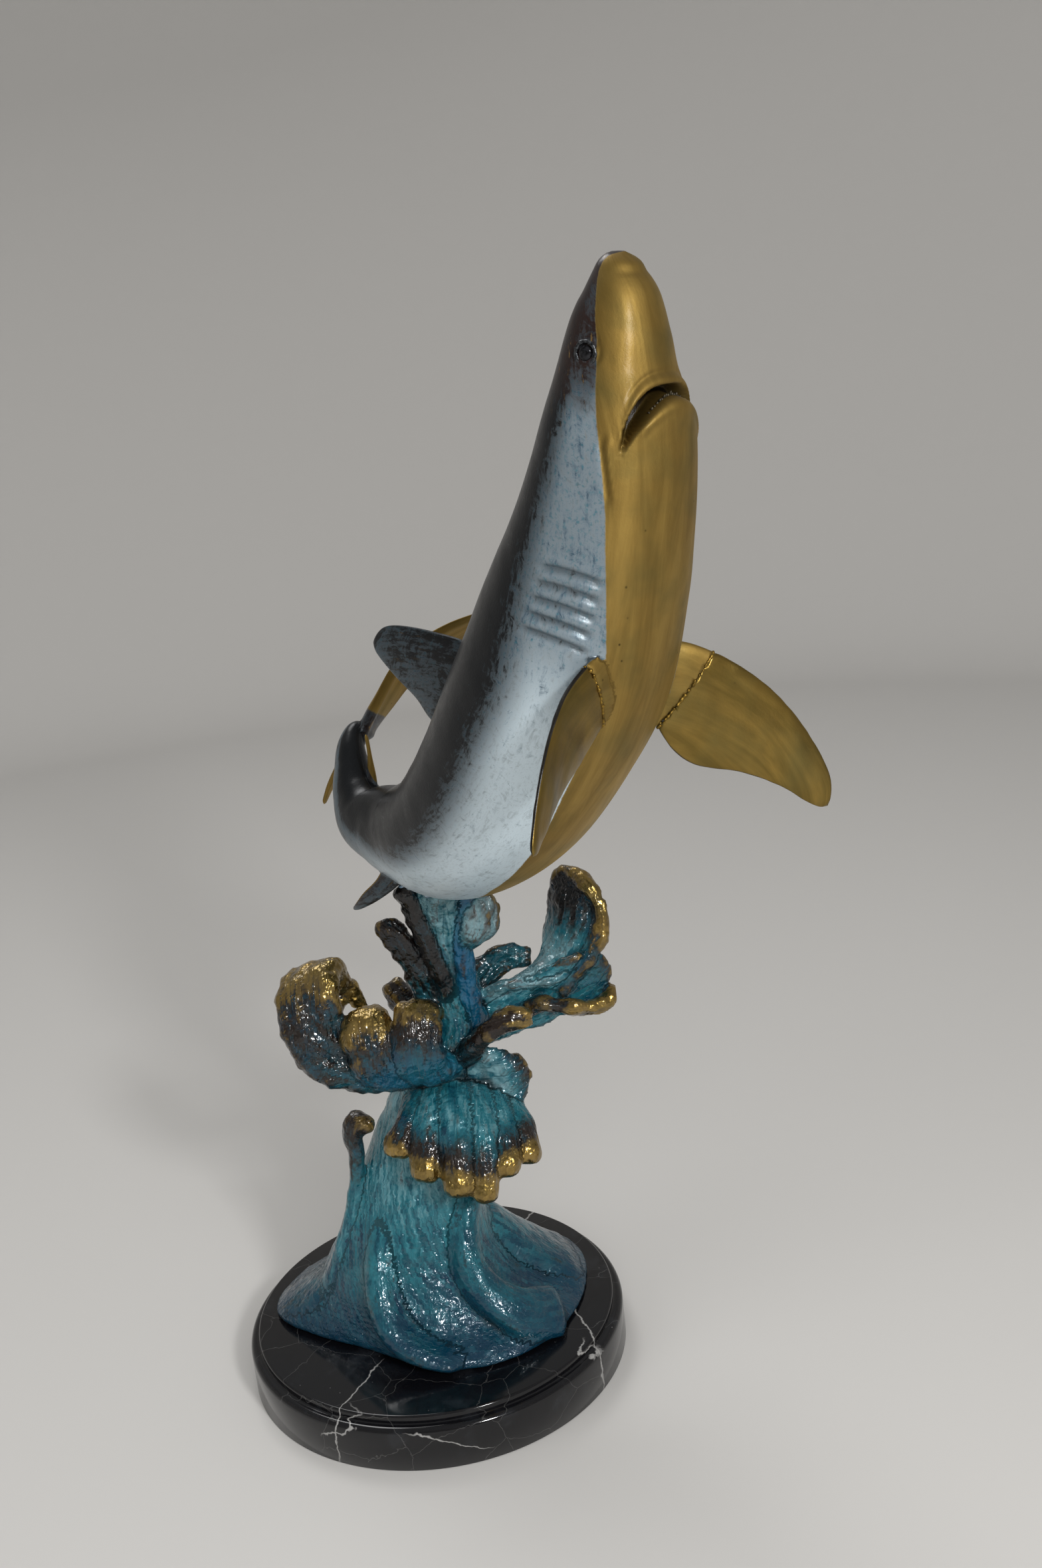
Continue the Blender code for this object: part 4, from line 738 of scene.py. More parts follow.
def blade(name, stations, place, rib=0.0):
    rows = evenly([[*front, *rear, thick] for front, rear, thick in stations], fins["rings"])
    front, rear, thick = place(rows[:, :3]), place(rows[:, 3:6]), rows[:, 6]
    middle = (front + rear) / 2
    run = knotsOf(middle)
    # the last few millimetres are rounded off
    soft = min(thick[-1] * fins["tipRound"], fins["tipMost"])
    end = np.sqrt(np.clip(1 - np.clip(1 - (run[-1] - run) / soft, 0, 1) ** 2, 0.02, 1))[:, None]
    front, rear = middle + (front - middle) * end, middle + (rear - middle) * end
    out = np.gradient(middle, axis=0)
    normal = unit(np.cross(rear - front, out))
    a = tau * np.arange(fins["points"]) / fins["points"]
    along = (1 - np.cos(a)) / 2
    full = fins["frontFullness"] + (fins["rearFullness"] - fins["frontFullness"]) * along
    bulge = np.sin(a) * full * (1 + rib * bell(along - fins["ribAt"], fins["ribWidth"]))
    points = (front[:, None] + (rear - front)[:, None] * along[None, :, None]
              + normal[:, None] * (bulge[None] * (thick * end[:, 0])[:, None] / 2)[..., None])
    chord = np.linalg.norm(rear - front, axis=1)
    facts = {"span": np.repeat(run / run[-1], len(a)), "along": np.tile(along, len(run)),
             "face": np.tile(np.sin(a), len(run)),
             "flow": np.stack([np.repeat(run, len(a)), (chord[:, None] * along[None]).ravel(),
                               np.tile(np.sign(np.sin(a)) * 40, len(run))], -1)}
    facts["flow"][:, 0] += 900 + 140 * (len(name) % 7)       # so that no two fins share a pattern
    return loft(name, points), points.reshape(-1, 3), facts


def noteFin(points, facts, number, *tones):
    columns = [np.broadcast_to(tone, len(points)) for tone in (*tones, 0.0)]
    cloud.append(points)
    values.append(np.column_stack([*columns, facts["flow"], np.full(len(points), number)]))


def addFin(name, stations, place, dress, number, rib=0.0):
    fin, points, facts = blade(name, stations, place, rib)
    noteFin(points, facts, number, *dress(facts))
    combine(body, fin, "UNION")


def mirrored(stations):
    return [((f[0], -f[1], f[2]), (r[0], -r[1], r[2]), t) for f, r, t in stations]


# each fin's finish: paint side (above 0 is patina), how dark, how pale, how rusty
addFin("dorsal", fins["dorsal"], fromShark, lambda f: (9.0, 1.0 - 0.25 * f["along"], 0.0, 0.1), 1)
for rows in (fins["pelvic"], mirrored(fins["pelvic"])):
    addFin("pelvic", rows, fromShark,
           lambda f: (9.0 - 12 * ease(0.8, 0.95, f["along"]), 0.85, 0.0, 0.8 * f["along"]), 2)
addFin("second_dorsal", fins["secondDorsal"], fromBase,
       lambda f: (3.0 - 9 * ease(0.2, 0.4, f["span"]), 0.9, 0.0, 0.6), 3)
addFin("upper_lobe", fins["upperLobe"], fromBase,
       lambda f: (4.0 - 12 * ease(0.1, 0.26, f["span"]), 0.8, 0.0, 0.7), 4, 0.5)
addFin("lower_lobe", fins["lowerLobe"], fromBase,
       lambda f: (4.0 - 10 * ease(0.1, 0.25, f["span"]), 0.7, 0.0, 0.9), 5, 0.3)


# Pectorals: a cast root stands out of the body, and the blade is welded on to it
def weldSeam(stations):
    near, far = (fromBase((np.array(stations[i][0]) + np.array(stations[i][1])) / 2) for i in (1, 2))
    out = unit(far - near)
    return near + out * fins["stub"], out


def upperSide(facts, below):                 # 1 on the patinated upper face
    return ease(-0.25, 0.2, -facts["face"] * below)


fittedFins = []
for name, below in (("right", -1.0), ("left", 1.0)):
    node = f"{name}_pectoral_fin"
    stations = fins[name]
    stub, stubPoints, facts = blade("stub", stations, fromBase)
    seam, out = weldSeam(stations)
    noteFin(stubPoints, facts, 6, -6 + 12 * upperSide(facts, below), 0.7, 0.0, 0.4)
    clip(stub, seam, out)
    combine(body, stub, "UNION")
    fin, finPoints, facts = blade(f"{name}_pectoral_cast", stations, fromBase)
    clip(fin, seam + out * 0.1, -out)
    spots = insideNode(node, places(fin))
    index, _ = nearest(finPoints, spots)
    # ground flat beside the weld, with a shallow ripple left by the grinder
    away = (spots - seam) @ out
    spots = spots + normals(fin) * (roughness(spots, 9.0) * 0.35 - 0.5 * bell(away, 2.0))[:, None]
    place(fin, insideNode(node, spots))
    along = facts["along"][index]
    dark = upperSide(facts, below)[index] * 0.9 + 0.35 * ease(0.86, 1.0, along)
    if name == "right":                      # patina creeps round this fin's front edge
        dark = dark + 0.8 * (1 - ease(0.01, 0.035, along))
    store(fin, dark=np.maximum(dark, 0.3 * bell(away, 4.0)), flow=facts["flow"][index])
    finished(fin, finFinish, "polished_bronze", node)
    fittedFins.append((name, spots[np.abs(away) < 1.2], out))
keepLargest(body)
print("shark body joined")

# fillets: points near the line where two castings' surfaces meet are drawn together
bodySpots, links = places(body), edges(body)
source = np.concatenate(cloud)
table = np.concatenate(values)
index, _ = nearest(source, bodySpots)
numbers = table[index]
part = numbers[:, -1]
seamEdge = part[links[:, 0]] != part[links[:, 1]]
seamShare = np.zeros(len(bodySpots))
seamShare[links[seamEdge].ravel()] = 1.0
seamShare = np.clip(neighbourMean(links, seamShare, 5) * 3.0, 0, 1)
bodySpots = insideNode("shark_body", neighbourMean(links, bodySpots, 8, seamShare * 0.6))
place(body, bodySpots)
numbers[:, :5] = neighbourMean(links, numbers[:, :5], 2)
numbers[:, 1] = np.maximum(numbers[:, 1], 0.6 * seamShare)
store(body, **dict(zip(("paint", "dark", "pale", "rust", "pit"), numbers.T)), flow=numbers[:, 5:8])
finished(body, skinFinish, "skin_patina", "shark_body")


def circle(axis, across, count):
    a = tau * np.arange(count) / count
    return a, across * np.cos(a)[:, None] + np.cross(axis, across) * np.sin(a)[:, None]


# A profile of radius and height turned about an axis
def roundPiece(name, profile, centre, axis, across, count):
    _, ring = circle(axis, across, count)
    return loft(name, np.array([centre + ring * radius + axis * height for radius, height in profile]))


def lumps(name, centres, sizes, grain):                        # beads melted into one
    parts = []
    for centre, size in zip(centres, sizes):
        work = bmesh.new()
        bmesh.ops.create_icosphere(work, subdivisions=3, radius=size * mm)
        bmesh.ops.translate(work, vec=Vector(centre) * mm, verts=work.verts)
        mesh = bpy.data.meshes.new(name)
        work.to_mesh(mesh)
        work.free()
        parts.append(newObject(name, mesh))
    bead = joined(parts[0], parts[1:])
    melt(bead, grain, 2)
    return bead


# eyes: a bead in a ring of metal worked by hand, so it is uneven
eye = {"radius": 4.8, "height": 2.6, "dome": (2, 12, 24, 36, 48, 60, 72, 84), "segments": 48,
       "ringRadius": 7.0, "ringThickness": 1.0, "ringWidth": 1.25, "ringSegments": 96, "ringSides": 15}
for name, way in (("right", 1.0), ("left", -1.0)):
    spot, out, _, along = (v[0] for v in bodyPoints(shark["eyeBack"], way * shark["eyeAngle"]))
    along = unit(along - out * (along @ out))
    dome = [(eye["radius"] * 0.9, -3.0)]
    dome += [(eye["radius"] * math.cos(a), eye["height"] * math.sin(a)) for a in np.radians(eye["dome"])]
    bead = roundPiece(f"{name}_eye", dome, spot, out, along, eye["segments"])
    finished(bead, eyeFinish, "skin_patina")
    count, sides = eye["ringSegments"], eye["ringSides"]
    turn = tau * np.arange(sides) / sides
    a, ring = circle(out, along, count)
    thick = eye["ringThickness"] * (1 + 0.10 * np.sin(a * 5 + 1) + 0.08 * np.sin(a * 9))[:, None]
    tube = (spot + ring[:, None] * (eye["ringRadius"] + thick * eye["ringWidth"] * np.cos(turn))[..., None]
            + out * (0.1 + thick * np.sin(turn))[..., None])
    i, j = np.meshgrid(np.arange(count), np.arange(sides), indexing="ij")
    i2, j2 = (i + 1) % count, (j + 1) % sides
    faces = np.stack([i * sides + j, i * sides + j2, i2 * sides + j2, i2 * sides + j], -1).reshape(-1, 4)
    mesh = bpy.data.meshes.new("ring")
    mesh.from_pydata((tube.reshape(-1, 3) * mm).tolist(), [], faces.tolist())
    finished(newObject(f"{name}_eye_ring", mesh), ringFinish, "skin_patina")

# teeth along the lower jaw, pointing at the upper lip
teeth = {"count": 19, "height": 3.2, "radius": 1.1, "reach": 27.0, "sides": 10,
         "profile": ((0.9, 0.0), (1.0, 0.25), (0.75, 0.6), (0.4, 0.85), (0.1, 1.0))}
rows = []
for i in range(teeth["count"]):
    angle = teeth["reach"] * (2 * i / (teeth["count"] - 1) - 1)
    at = lip(shark["lowerLip"], np.array([angle]))[0]
    spot, out, _, along = (v[0] for v in bodyPoints(at - 1.6, angle))
    lean = unit(-along + out * 0.35)
    width = unit(np.cross(lean, out))
    size = teeth["height"] * (0.8 + 0.25 * math.sin(i * 2.3)) * (1 - 0.5 * abs(angle) / teeth["reach"])
    profile = [(teeth["radius"] * k, size * h - 1.5) for k, h in teeth["profile"]]
    rows.append(roundPiece("tooth", profile, spot - out * 1.9, lean, width, teeth["sides"]))
finished(joined(rows[0], rows[1:]), toothFinish, "polished_bronze").name = "lower_teeth"
print("head details made")

wave = {
    "skirt": [138, 145, 137, 128, 118, 118, 130, 142, 145, 112, 92, 92, 106, 119, 127, 132],
    # column: height, share of the skirt's outline, centre x and y, half width, half depth
    "column": [(0.3, 1, 0, 0, 62, 56), (5, 0.97, 0, 0, 62, 56), (11, 0.82, -4, -3, 63, 56),
               (22, 0.52, -8, -6, 64, 56), (42, 0.24, -12, -9, 66, 56), (70, 0.07, -12, -9, 63, 52),
               (105, 0, -5, -8, 57, 46), (140, 0, 4, -5, 52, 40), (175, 0, 13, -3, 44, 35),
               (205, 0, 22, -2, 35, 30), (238, 0, 35, -2, 29, 26), (272, 0, 50, -2, 25, 22),
               (310, 0, 52, -6, 17, 16), (350, 0, 50, -18, 14, 14), (385, 0, 50, -34, 17, 16),
               (408, 0, 56, -46, 21, 18)],
    "columnRings": 110, "columnPoints": 144, "grain": 2.1, "smoothing": 3,
    # surface, in millimetres: crags drawn out along the flow, and heights low down with what is added high up
    "cragSize": (22, 7, 7), "cragHeight": (0.35, 1.1), "lumpSize": 15.0, "lumpHeight": (0.9, 1.2),
    "knockSize": 5.5, "knockHeight": (0.2, 0.45), "rimSize": 8.0, "rimHeight": 2.0,
    "points": 32, "ringsPerSpan": 10, "tipTurns": (15, 30, 45, 60, 75), "tipBluntness": 0.35,
    # tongues of water: x, y, height, half width, half thickness, cup;
    # then the way across at the root and at the tip
    "tongues": {
        "left_paw": ([(30, -4, 240, 22, 16, 0), (-4, -22, 242, 24, 17, -2), (-36, -32, 252, 26, 16, -3),
                      (-60, -36, 270, 26, 15, -4), (-68, -34, 296, 26, 14, -4), (-66, -24, 316, 25, 14, -4),
                      (-58, -8, 320, 22, 12, -2), (-52, 4, 306, 18, 9, 0)], (0.1, 0.75, 0.7), (1, -0.1, 0.1)),
        "middle_paw": ([(26, -8, 238, 18, 14, 0), (0, -34, 240, 20, 14, -2), (-16, -48, 256, 21, 13, -3),
                        (-22, -48, 275, 20, 12, -3), (-22, -38, 288, 19, 11, 0), (-20, -26, 284, 15, 9, 0)],
                       (0.9, 0.4, 0.2), (1, 0, 0.05)),
        "right_paw": ([(36, -6, 238, 20, 14, 0), (24, -34, 240, 20, 14, -2), (17, -48, 256, 21, 13, -3),
                       (18, -48, 275, 20, 12, -4), (20, -38, 289, 18, 11, -2), (26, -26, 284, 13, 9, 0)],
                      (1, 0.2, 0), (1, 0.1, -0.2)),
        "paw_spike": ([(-58, -4, 284, 12, 9, 0), (-50, 4, 296, 11, 8, 0), (-41, 6, 300, 9, 7, 0),
                       (-33, 6, 290, 6, 5, 0), (-29, 5, 282, 4, 3.5, 0)], (1, 0, 0.4), (1, 0.3, 0.4)),
        "back_knob": ([(44, 4, 258, 12, 11, 0), (22, 16, 268, 11, 10, 0), (4, 24, 278, 12, 11, 0),
                       (-2, 27, 284, 11, 10, 0)], (0, 0.3, 1), (0, 0.3, 1)),
        "finger": ([(48, -6, 268, 12, 9, 0), (33, -12, 290, 12, 8, 0), (22, -18, 322, 11.5, 6.5, 0),
                    (12, -24, 348, 10, 6, 0), (4, -26, 362, 9.5, 8.5, 0)], (1, 0.1, 0.4), (0.8, 0.1, 0.6)),
        "ribbon": ([(52, -12, 272, 9, 6, 0), (42, -20, 312, 8, 5.5, 0), (33, -29, 352, 8, 5.5, 2),
                    (25, -36, 384, 8.5, 5.5, 2), (22, -38, 396, 9, 5, 0)], (1, -0.3, 0.3), (1, -0.2, 0.2)),
        "spine_rib": ([(66, -14, 262, 9, 8, 0), (62, -20, 300, 8, 7, 0), (63, -27, 340, 7, 6.5, 0),
                       (66, -34, 372, 8, 6, 0), (70, -40, 392, 10, 7, 0)], (1, 0.1, 0), (1, 0.1, 0)),
        "small_leaf": ([(60, -22, 340, 8, 6, 0), (72, -32, 350, 13, 6, 2), (79, -37, 362, 15, 5.5, 3),
                        (81, -38, 377, 14, 5, 2), (76, -36, 387, 11, 5, 0)], (0.7, 0.2, -0.6), (1, 0.2, 0.1)),
        "back_leaf": ([(50, 8, 282, 12, 7, 0), (72, 18, 294, 13, 6, 2), (92, 24, 306, 12, 5, 3),
                       (112, 28, 304, 9, 4, 0)], (0.2, 0.5, 0.9), (0, 0.3, 1)),
        "scoop": ([(48, -2, 262, 20, 11, 0), (82, 4, 276, 24, 9, 4), (112, 7, 290, 28, 7.5, 7),
                   (134, 9, 310, 30, 7, 8), (147, 12, 334, 30, 6.5, 8), (152, 18, 356, 26, 6, 6),
                   (152, 25, 369, 16, 5, 3)], (0, -0.3, 1), (1, -0.75, 0.15)),
        "scoop_rim": ([(136, -12, 287, 7, 5, 0), (152, -12, 303, 7, 5.5, 0), (171, -9, 323, 6.5, 5.5, 0),
                       (177, -5, 343, 6, 5, 0), (172, 5, 364, 6, 5, 0), (163, 16, 374, 6, 5, 0),
                       (154, 26, 376, 6, 5, 0), (146, 31, 370, 5, 4.5, 0)], (1, -0.5, 0), (1, -0.5, 0)),
        "right_web": ([(62, -4, 256, 16, 10, 0), (98, -6, 270, 21, 7, 2), (128, -8, 283, 24, 5.5, 3),
                       (154, -9, 294, 25, 5, 3), (168, -9, 301, 20, 4.5, 0), (175, -9, 305, 12, 4, 0)],
                      (0, -0.2, 1), (-0.25, -0.2, 1)),
        "web_ridge": ([(104, -14, 270, 6, 5, 0), (122, -22, 279, 7, 6, 0), (140, -24, 276, 6.5, 5.5, 0),
                       (160, -22, 272, 6, 5, 0), (174, -16, 272, 6.5, 5.5, 0), (180, -10, 280, 5, 4.5, 0)],
                      (0, -0.6, 1), (0, -0.6, 1)),
        "brown_curl": ([(50, -16, 236, 9, 8, 0), (60, -32, 252, 8.5, 8, 0), (74, -42, 269, 8.5, 7.5, 0),
                        (92, -45, 280, 9, 8, 0), (105, -42, 279, 8.5, 7.5, 0)], (0.4, 0.6, -0.6),
                       (0, 0.3, 1)),
        "ruffled_leaf": ([(34, -6, 212, 24, 14, 0), (60, -16, 216, 26, 9, 4), (80, -21, 218, 28, 6.5, 6),
                          (93, -20, 221, 22, 5.5, 3), (98, -17, 223, 14, 5, 0)], (0.15, 0.1, 1),
                         (-0.2, 0.1, 1)),
        "left_rib": ([(-92, -22, 10, 13, 10, 0), (-83, -26, 44, 10, 9, 0), (-66, -26, 92, 7.5, 7, 0),
                      (-52, -24, 138, 6.5, 6, 0), (-48, -22, 164, 7, 6.5, 0), (-50, -21, 178, 9.5, 8, 0),
                      (-44, -21, 189, 11, 9, 0), (-36, -22, 188, 8, 7, 0)], (1, 0, 0.3), (0.7, -0.7, -0.3)),
        "breaker_1": ([(22, -4, 206, 16, 12, 0), (10, -32, 207, 14, 9, -2), (-1, -48, 197, 12, 8, -2),
                       (-8, -57, 184, 12, 10.5, 0)], (1, -0.4, 0), (1, -0.4, 0.2)),
        "breaker_2": ([(30, -4, 208, 18, 12, 0), (24, -38, 209, 16, 9, -2), (17, -64, 192, 13, 8, -2),
                       (13, -75, 170, 13, 11, 0)], (1, -0.2, 0), (1, -0.2, 0.1)),
        "breaker_3": ([(38, -4, 208, 18, 12, 0), (40, -42, 211, 17, 9, -2), (41, -72, 190, 14, 8, -2),
                       (39, -85, 159, 13, 11.5, 0)], (1, 0, 0), (1, 0, 0.1)),
        "breaker_4": ([(48, -4, 206, 18, 12, 0), (58, -42, 206, 16, 9, -2), (62, -72, 182, 13, 8, -2),
                       (60, -85, 150, 11.5, 10.5, 0)], (1, 0.2, 0), (1, 0.2, 0)),
        "breaker_5": ([(52, -2, 202, 18, 12, 0), (72, -34, 200, 15, 9, -2), (80, -62, 182, 12, 8, -2),
                       (79, -75, 166, 12, 10.5, 0)], (1, 0.4, 0), (1, 0.4, 0)),
        "breaker_6": ([(56, 0, 198, 18, 12, 0), (80, -26, 196, 15, 9, -2), (94, -48, 184, 12, 8, -2),
                       (97, -60, 168, 12, 10.5, 0)], (0.9, 0.7, 0), (0.9, 0.6, -0.2)),
        "left_fold": ([(-40, -8, 84, 26, 16, 0), (-74, -6, 46, 30, 15, 0), (-104, 2, 22, 30, 11, 0),
                       (-134, 10, 7, 20, 6, 0)], (0.3, 1, 0), (0.1, 1, 0)),
        "front_fold": ([(-18, -22, 132, 9, 6, 0), (-29, -41, 100, 12, 9, 0), (-37, -61, 64, 16, 13, 0),
                        (-30, -80, 34, 19, 13, 0), (-8, -92, 17, 22, 10, 0), (20, -100, 8, 20, 7, 0)],
                       (1, 0.2, 0), (0.3, 1, 0)),
        "swirl_fold": ([(44, -34, 120, 12, 10, 0), (36, -52, 86, 13, 12, 0), (44, -66, 56, 16, 13, 0),
                        (74, -74, 30, 22, 11, 0), (106, -58, 14, 26, 8, 0)], (1, 0.1, 0), (0.6, 0.8, 0)),
        "right_fold": ([(48, 10, 70, 26, 16, 0), (82, 20, 36, 34, 14, 0), (118, 30, 12, 36, 8, 0)],
                       (-0.2, 1, 0), (-0.2, 1, 0)),
        "back_fold": ([(-10, 34, 110, 26, 14, 0), (-14, 62, 52, 34, 15, 0), (-22, 88, 20, 40, 10, 0)],
                      (1, 0, 0), (1, 0, 0)),
    },
    # finish along each tongue: share of its length, gold, brown, blue, pale, dark
    "finishes": {
        "column": [(0, 0, 0.05, 0.1, 0.05, 0), (0.15, 0, 0.1, 0.1, 0.15, 0), (0.3, 0, 0, 0, 0.45, 0),
                   (0.5, 0, 0.1, 0, 0.75, 0), (0.62, 0, 0.3, 0, 0.3, 0.2), (0.75, 0, 0.1, 0.1, 0.5, 0),
                   (1, 0, 0.1, 0.1, 0.75, 0.1)],
        "left_paw": [(0, 0, 0.2, 0.2, 0.1, 0.2), (0.4, 0, 0.45, 0, 0.15, 0.3),
                     (0.62, 0.15, 0.6, 0, 0.1, 0.2), (0.8, 0.7, 0.4, 0, 0, 0), (1, 0.6, 0.5, 0, 0, 0)],
        "middle_paw": [(0, 0, 0.1, 0.6, 0.3, 0), (0.48, 0, 0.15, 0.6, 0.1, 0), (0.66, 0.3, 0.6, 0, 0, 0.1),
                       (0.8, 0.85, 0.3, 0, 0, 0), (1, 0.8, 0.4, 0, 0, 0)],
        "right_paw": [(0, 0, 0, 0.6, 0.3, 0), (0.48, 0, 0.15, 0.5, 0.1, 0), (0.66, 0.15, 0.7, 0, 0, 0.2),
                      (0.82, 0.7, 0.5, 0, 0, 0), (1, 0.6, 0.5, 0, 0, 0)],
        "paw_spike": [(0, 0.4, 0.6, 0, 0, 0), (1, 0.8, 0.4, 0, 0, 0)],
        "back_knob": [(0, 0, 0.6, 0.2, 0, 0.2), (1, 0.3, 0.8, 0, 0, 0.2)],
        "finger": [(0, 0, 0, 0.2, 0.4, 0), (0.4, 0, 0.4, 0, 0.3, 0.45), (0.65, 0, 0.6, 0, 0.25, 0.75),
                   (1, 0.1, 0.7, 0, 0.35, 0.75)],
        "ribbon": [(0, 0, 0.4, 0, 0.2, 0.6), (0.5, 0, 0.7, 0, 0.3, 0.75), (1, 0, 0.7, 0, 0.35, 0.75)],
        "spine_rib": [(0, 0, 0, 0.6, 0, 0), (0.5, 0, 0, 1.1, 0, 0.1), (1, 0, 0, 1, 0, 0.15)],
        "small_leaf": [(0, 0, 0.5, 0, 0.2, 0.6), (0.4, 0.1, 0.3, 0, 0.9, 0.1), (1, 0.36, 0.1, 0, 1, 0)],
        "back_leaf": [(0, 0, 0.2, 0, 0.1, 0.6), (1, 0.05, 0.2, 0, 0.5, 0.4)],
        "scoop": [(0, 0, 0, 0.2, 0.4, 0), (0.4, 0, 0.05, 0.1, 0.75, 0), (0.65, 0, 0.15, 0, 0.65, 0.05),
                  (0.85, 0, 0.6, 0, 0.2, 0.45), (1, 0.1, 0.8, 0, 0, 0.7)],
        "scoop_rim": [(0, 0.15, 0.4, 0, 0.1, 0.1), (0.35, 0.3, 0.4, 0, 0.2, 0.1), (0.6, 0.6, 0.4, 0, 0, 0),
                      (0.85, 0.3, 0.6, 0, 0, 0.3), (1, 0.2, 0.7, 0, 0, 0.5)],
        "right_web": [(0, 0, 0, 0.1, 0.4, 0), (0.6, 0, 0, 0, 0.4, 0), (0.85, 0, 0.2, 0, 0.3, 0.1),
                      (1, 0.2, 0.5, 0, 0, 0.1)],
        "web_ridge": [(0, 0.1, 0.6, 0, 0.1, 0.2), (0.45, 0.35, 0.6, 0, 0.1, 0.1), (0.8, 0.6, 0.4, 0, 0, 0),
                      (1, 0.5, 0.5, 0, 0, 0)],
        "brown_curl": [(0, 0, 0.5, 0, 0, 0.4), (0.6, 0.1, 0.9, 0, 0, 0.3), (1, 0.5, 0.8, 0, 0, 0)],
        "ruffled_leaf": [(0, 0, 0, 0.1, 0.5, 0), (0.7, 0, 0, 0.1, 0.7, 0), (0.9, 0.2, 0.5, 0, 0.1, 0),
                         (1, 0.3, 0.9, 0, 0, 0.2)],
        "left_rib": [(0, 0, 0, 0, 0.2, 0), (0.5, 0, 0, 0, 0.5, 0.1), (0.78, 0, 0.5, 0, 0.3, 0.3),
                     (0.9, 0.1, 0.7, 0, 0.2, 0.3), (1, 0.25, 0.7, 0, 0.2, 0.2)],
        "breaker_1": [(0, 0, 0.2, 0, 0.3, 0.1), (0.55, 0, 0.4, 0, 0.4, 0.1), (0.8, 0.3, 0.7, 0, 0, 0.1),
                      (1, 0.75, 0.5, 0, 0, 0)],
        "breaker_2": [(0, 0, 0, 0, 0.35, 0), (0.55, 0, 0.05, 0, 0.5, 0), (0.76, 0.2, 0.75, 0, 0, 0.2),
                      (0.88, 0.9, 0.3, 0, 0, 0), (1, 1, 0.1, 0, 0, 0)],
        "left_fold": [(0, 0, 0, 0, 0.3, 0), (0.5, 0, 0.1, 0, 0.1, 0.1), (1, 0, 0.25, 0, 0, 0.15)],
        "front_fold": [(0, 0, 0.1, 0, 0.5, 0), (0.5, 0, 0.15, 0.1, 0.2, 0), (1, 0, 0.15, 0.15, 0, 0)],
        "swirl_fold": [(0, 0, 0.1, 0.2, 0.2, 0.1), (0.5, 0, 0.1, 0.1, 0.1, 0.1), (1, 0, 0.1, 0.1, 0.1, 0)],
        "right_fold": [(0, 0, 0.1, 0.1, 0.3, 0), (1, 0.1, 0.2, 0.1, 0.1, 0)],
    },
}


def skirtReach(angle):
    reachTable = np.array(wave["skirt"], float)
    n = len(reachTable)
    where = (angle % tau) / (tau / n)
    i = where.astype(int)
    t = where - i
    v = [reachTable[(i + k) % n] for k in (-1, 0, 1, 2)]
    return hermite(t, 1.0, v[1], (v[2] - v[0]) / 2, v[2], (v[3] - v[1]) / 2)


waveCloud, waveValues = [], []


def noteTongue(name, points, share, flow, rim):
    usual = "breaker_2" if name.startswith("breaker") else "right_fold"
    stops = np.array(wave["finishes"].get(name, wave["finishes"][usual]), float)
    tones = [np.interp(share, stops[:, 0], stops[:, k]) for k in range(1, 6)]
    waveCloud.append(points)
    waveValues.append(np.column_stack([*tones, flow, rim]))


def makeColumn():
    rows = np.array([(x, y, h, share, w, d) for h, share, x, y, w, d in wave["column"]], float)
    knots = knotsOf(rows)
    # the table's own rows with straight runs between them, softened by the melting later
    at = np.linspace(0, knots[-1], wave["columnRings"])
    rows = np.stack([np.interp(at, knots, rows[:, k]) for k in range(6)], -1)
    around = wave["columnPoints"]
    a = tau * np.arange(around) / around
    oval = 1 / np.hypot(np.cos(a)[None] / rows[:, 4:5], np.sin(a)[None] / rows[:, 5:6])
    reach = skirtReach(a)[None] * rows[:, 3:4] + oval * (1 - rows[:, 3:4])
    points = np.stack([rows[:, 0:1] + reach * np.cos(a), rows[:, 1:2] + reach * np.sin(a),
                       np.broadcast_to(rows[:, 2:3] + plateau, reach.shape)], -1)
    arc = reach * ((a + math.pi) % tau - math.pi)
    flow = np.stack([np.repeat(at, around), arc.ravel(), np.zeros(reach.size)], -1)
    noteTongue("column", points.reshape(-1, 3), np.repeat(at / at[-1], around), flow, np.zeros(reach.size))
    return loft("wave_casting_cast", points)


def makeTongue(name, number):
    stations, rootAcross, tipAcross = wave["tongues"][name]
    rows = evenly(stations, wave["ringsPerSpan"] * (len(stations) - 1) + 1)
    tangents = unit(np.gradient(rows[:, :3], axis=0))
    share = np.linspace(0, 1, len(rows))[:, None]
    across = np.array(rootAcross) * (1 - share) + np.array(tipAcross) * share
    last, tip = rows[-1], unit(rows[-1][:3] - rows[-2][:3])
    extra = []
    for turn in np.radians(wave["tipTurns"]):
        c, s = math.cos(turn), math.sin(turn)
        narrowing = wave["tipBluntness"] + (1 - wave["tipBluntness"]) * c
        extra.append([*(last[:3] + tip * last[4] * s), last[3] * narrowing, last[4] * c, last[5] * c])
    rows = np.concatenate([rows, extra])
    tangents = np.concatenate([tangents, np.repeat(tip[None], len(extra), 0)])
    across = np.concatenate([across, np.repeat(across[-1:], len(extra), 0)])
    across = unit(across - tangents * (across * tangents).sum(-1, keepdims=True))
    normal = np.cross(tangents, across)
    a = tau * np.arange(wave["points"]) / wave["points"]
    lift = rows[:, 4:5] * np.sin(a) + rows[:, 5:6] * np.cos(a) ** 2
    wide = rows[:, 3:4] * np.cos(a)
    points = fromBase(rows[:, None, :3] + across[:, None] * wide[..., None]
                      + normal[:, None] * lift[..., None])
    run = knotsOf(rows)
    flow = np.stack([np.repeat(run, len(a)), wide.ravel(), np.full(wide.size, 60.0 * number)], -1)
    rim = np.abs(np.tile(np.cos(a), len(run)))
    noteTongue(name, points.reshape(-1, 3), np.repeat(run / run[-1], len(a)), flow, rim)
    return loft(name, points)


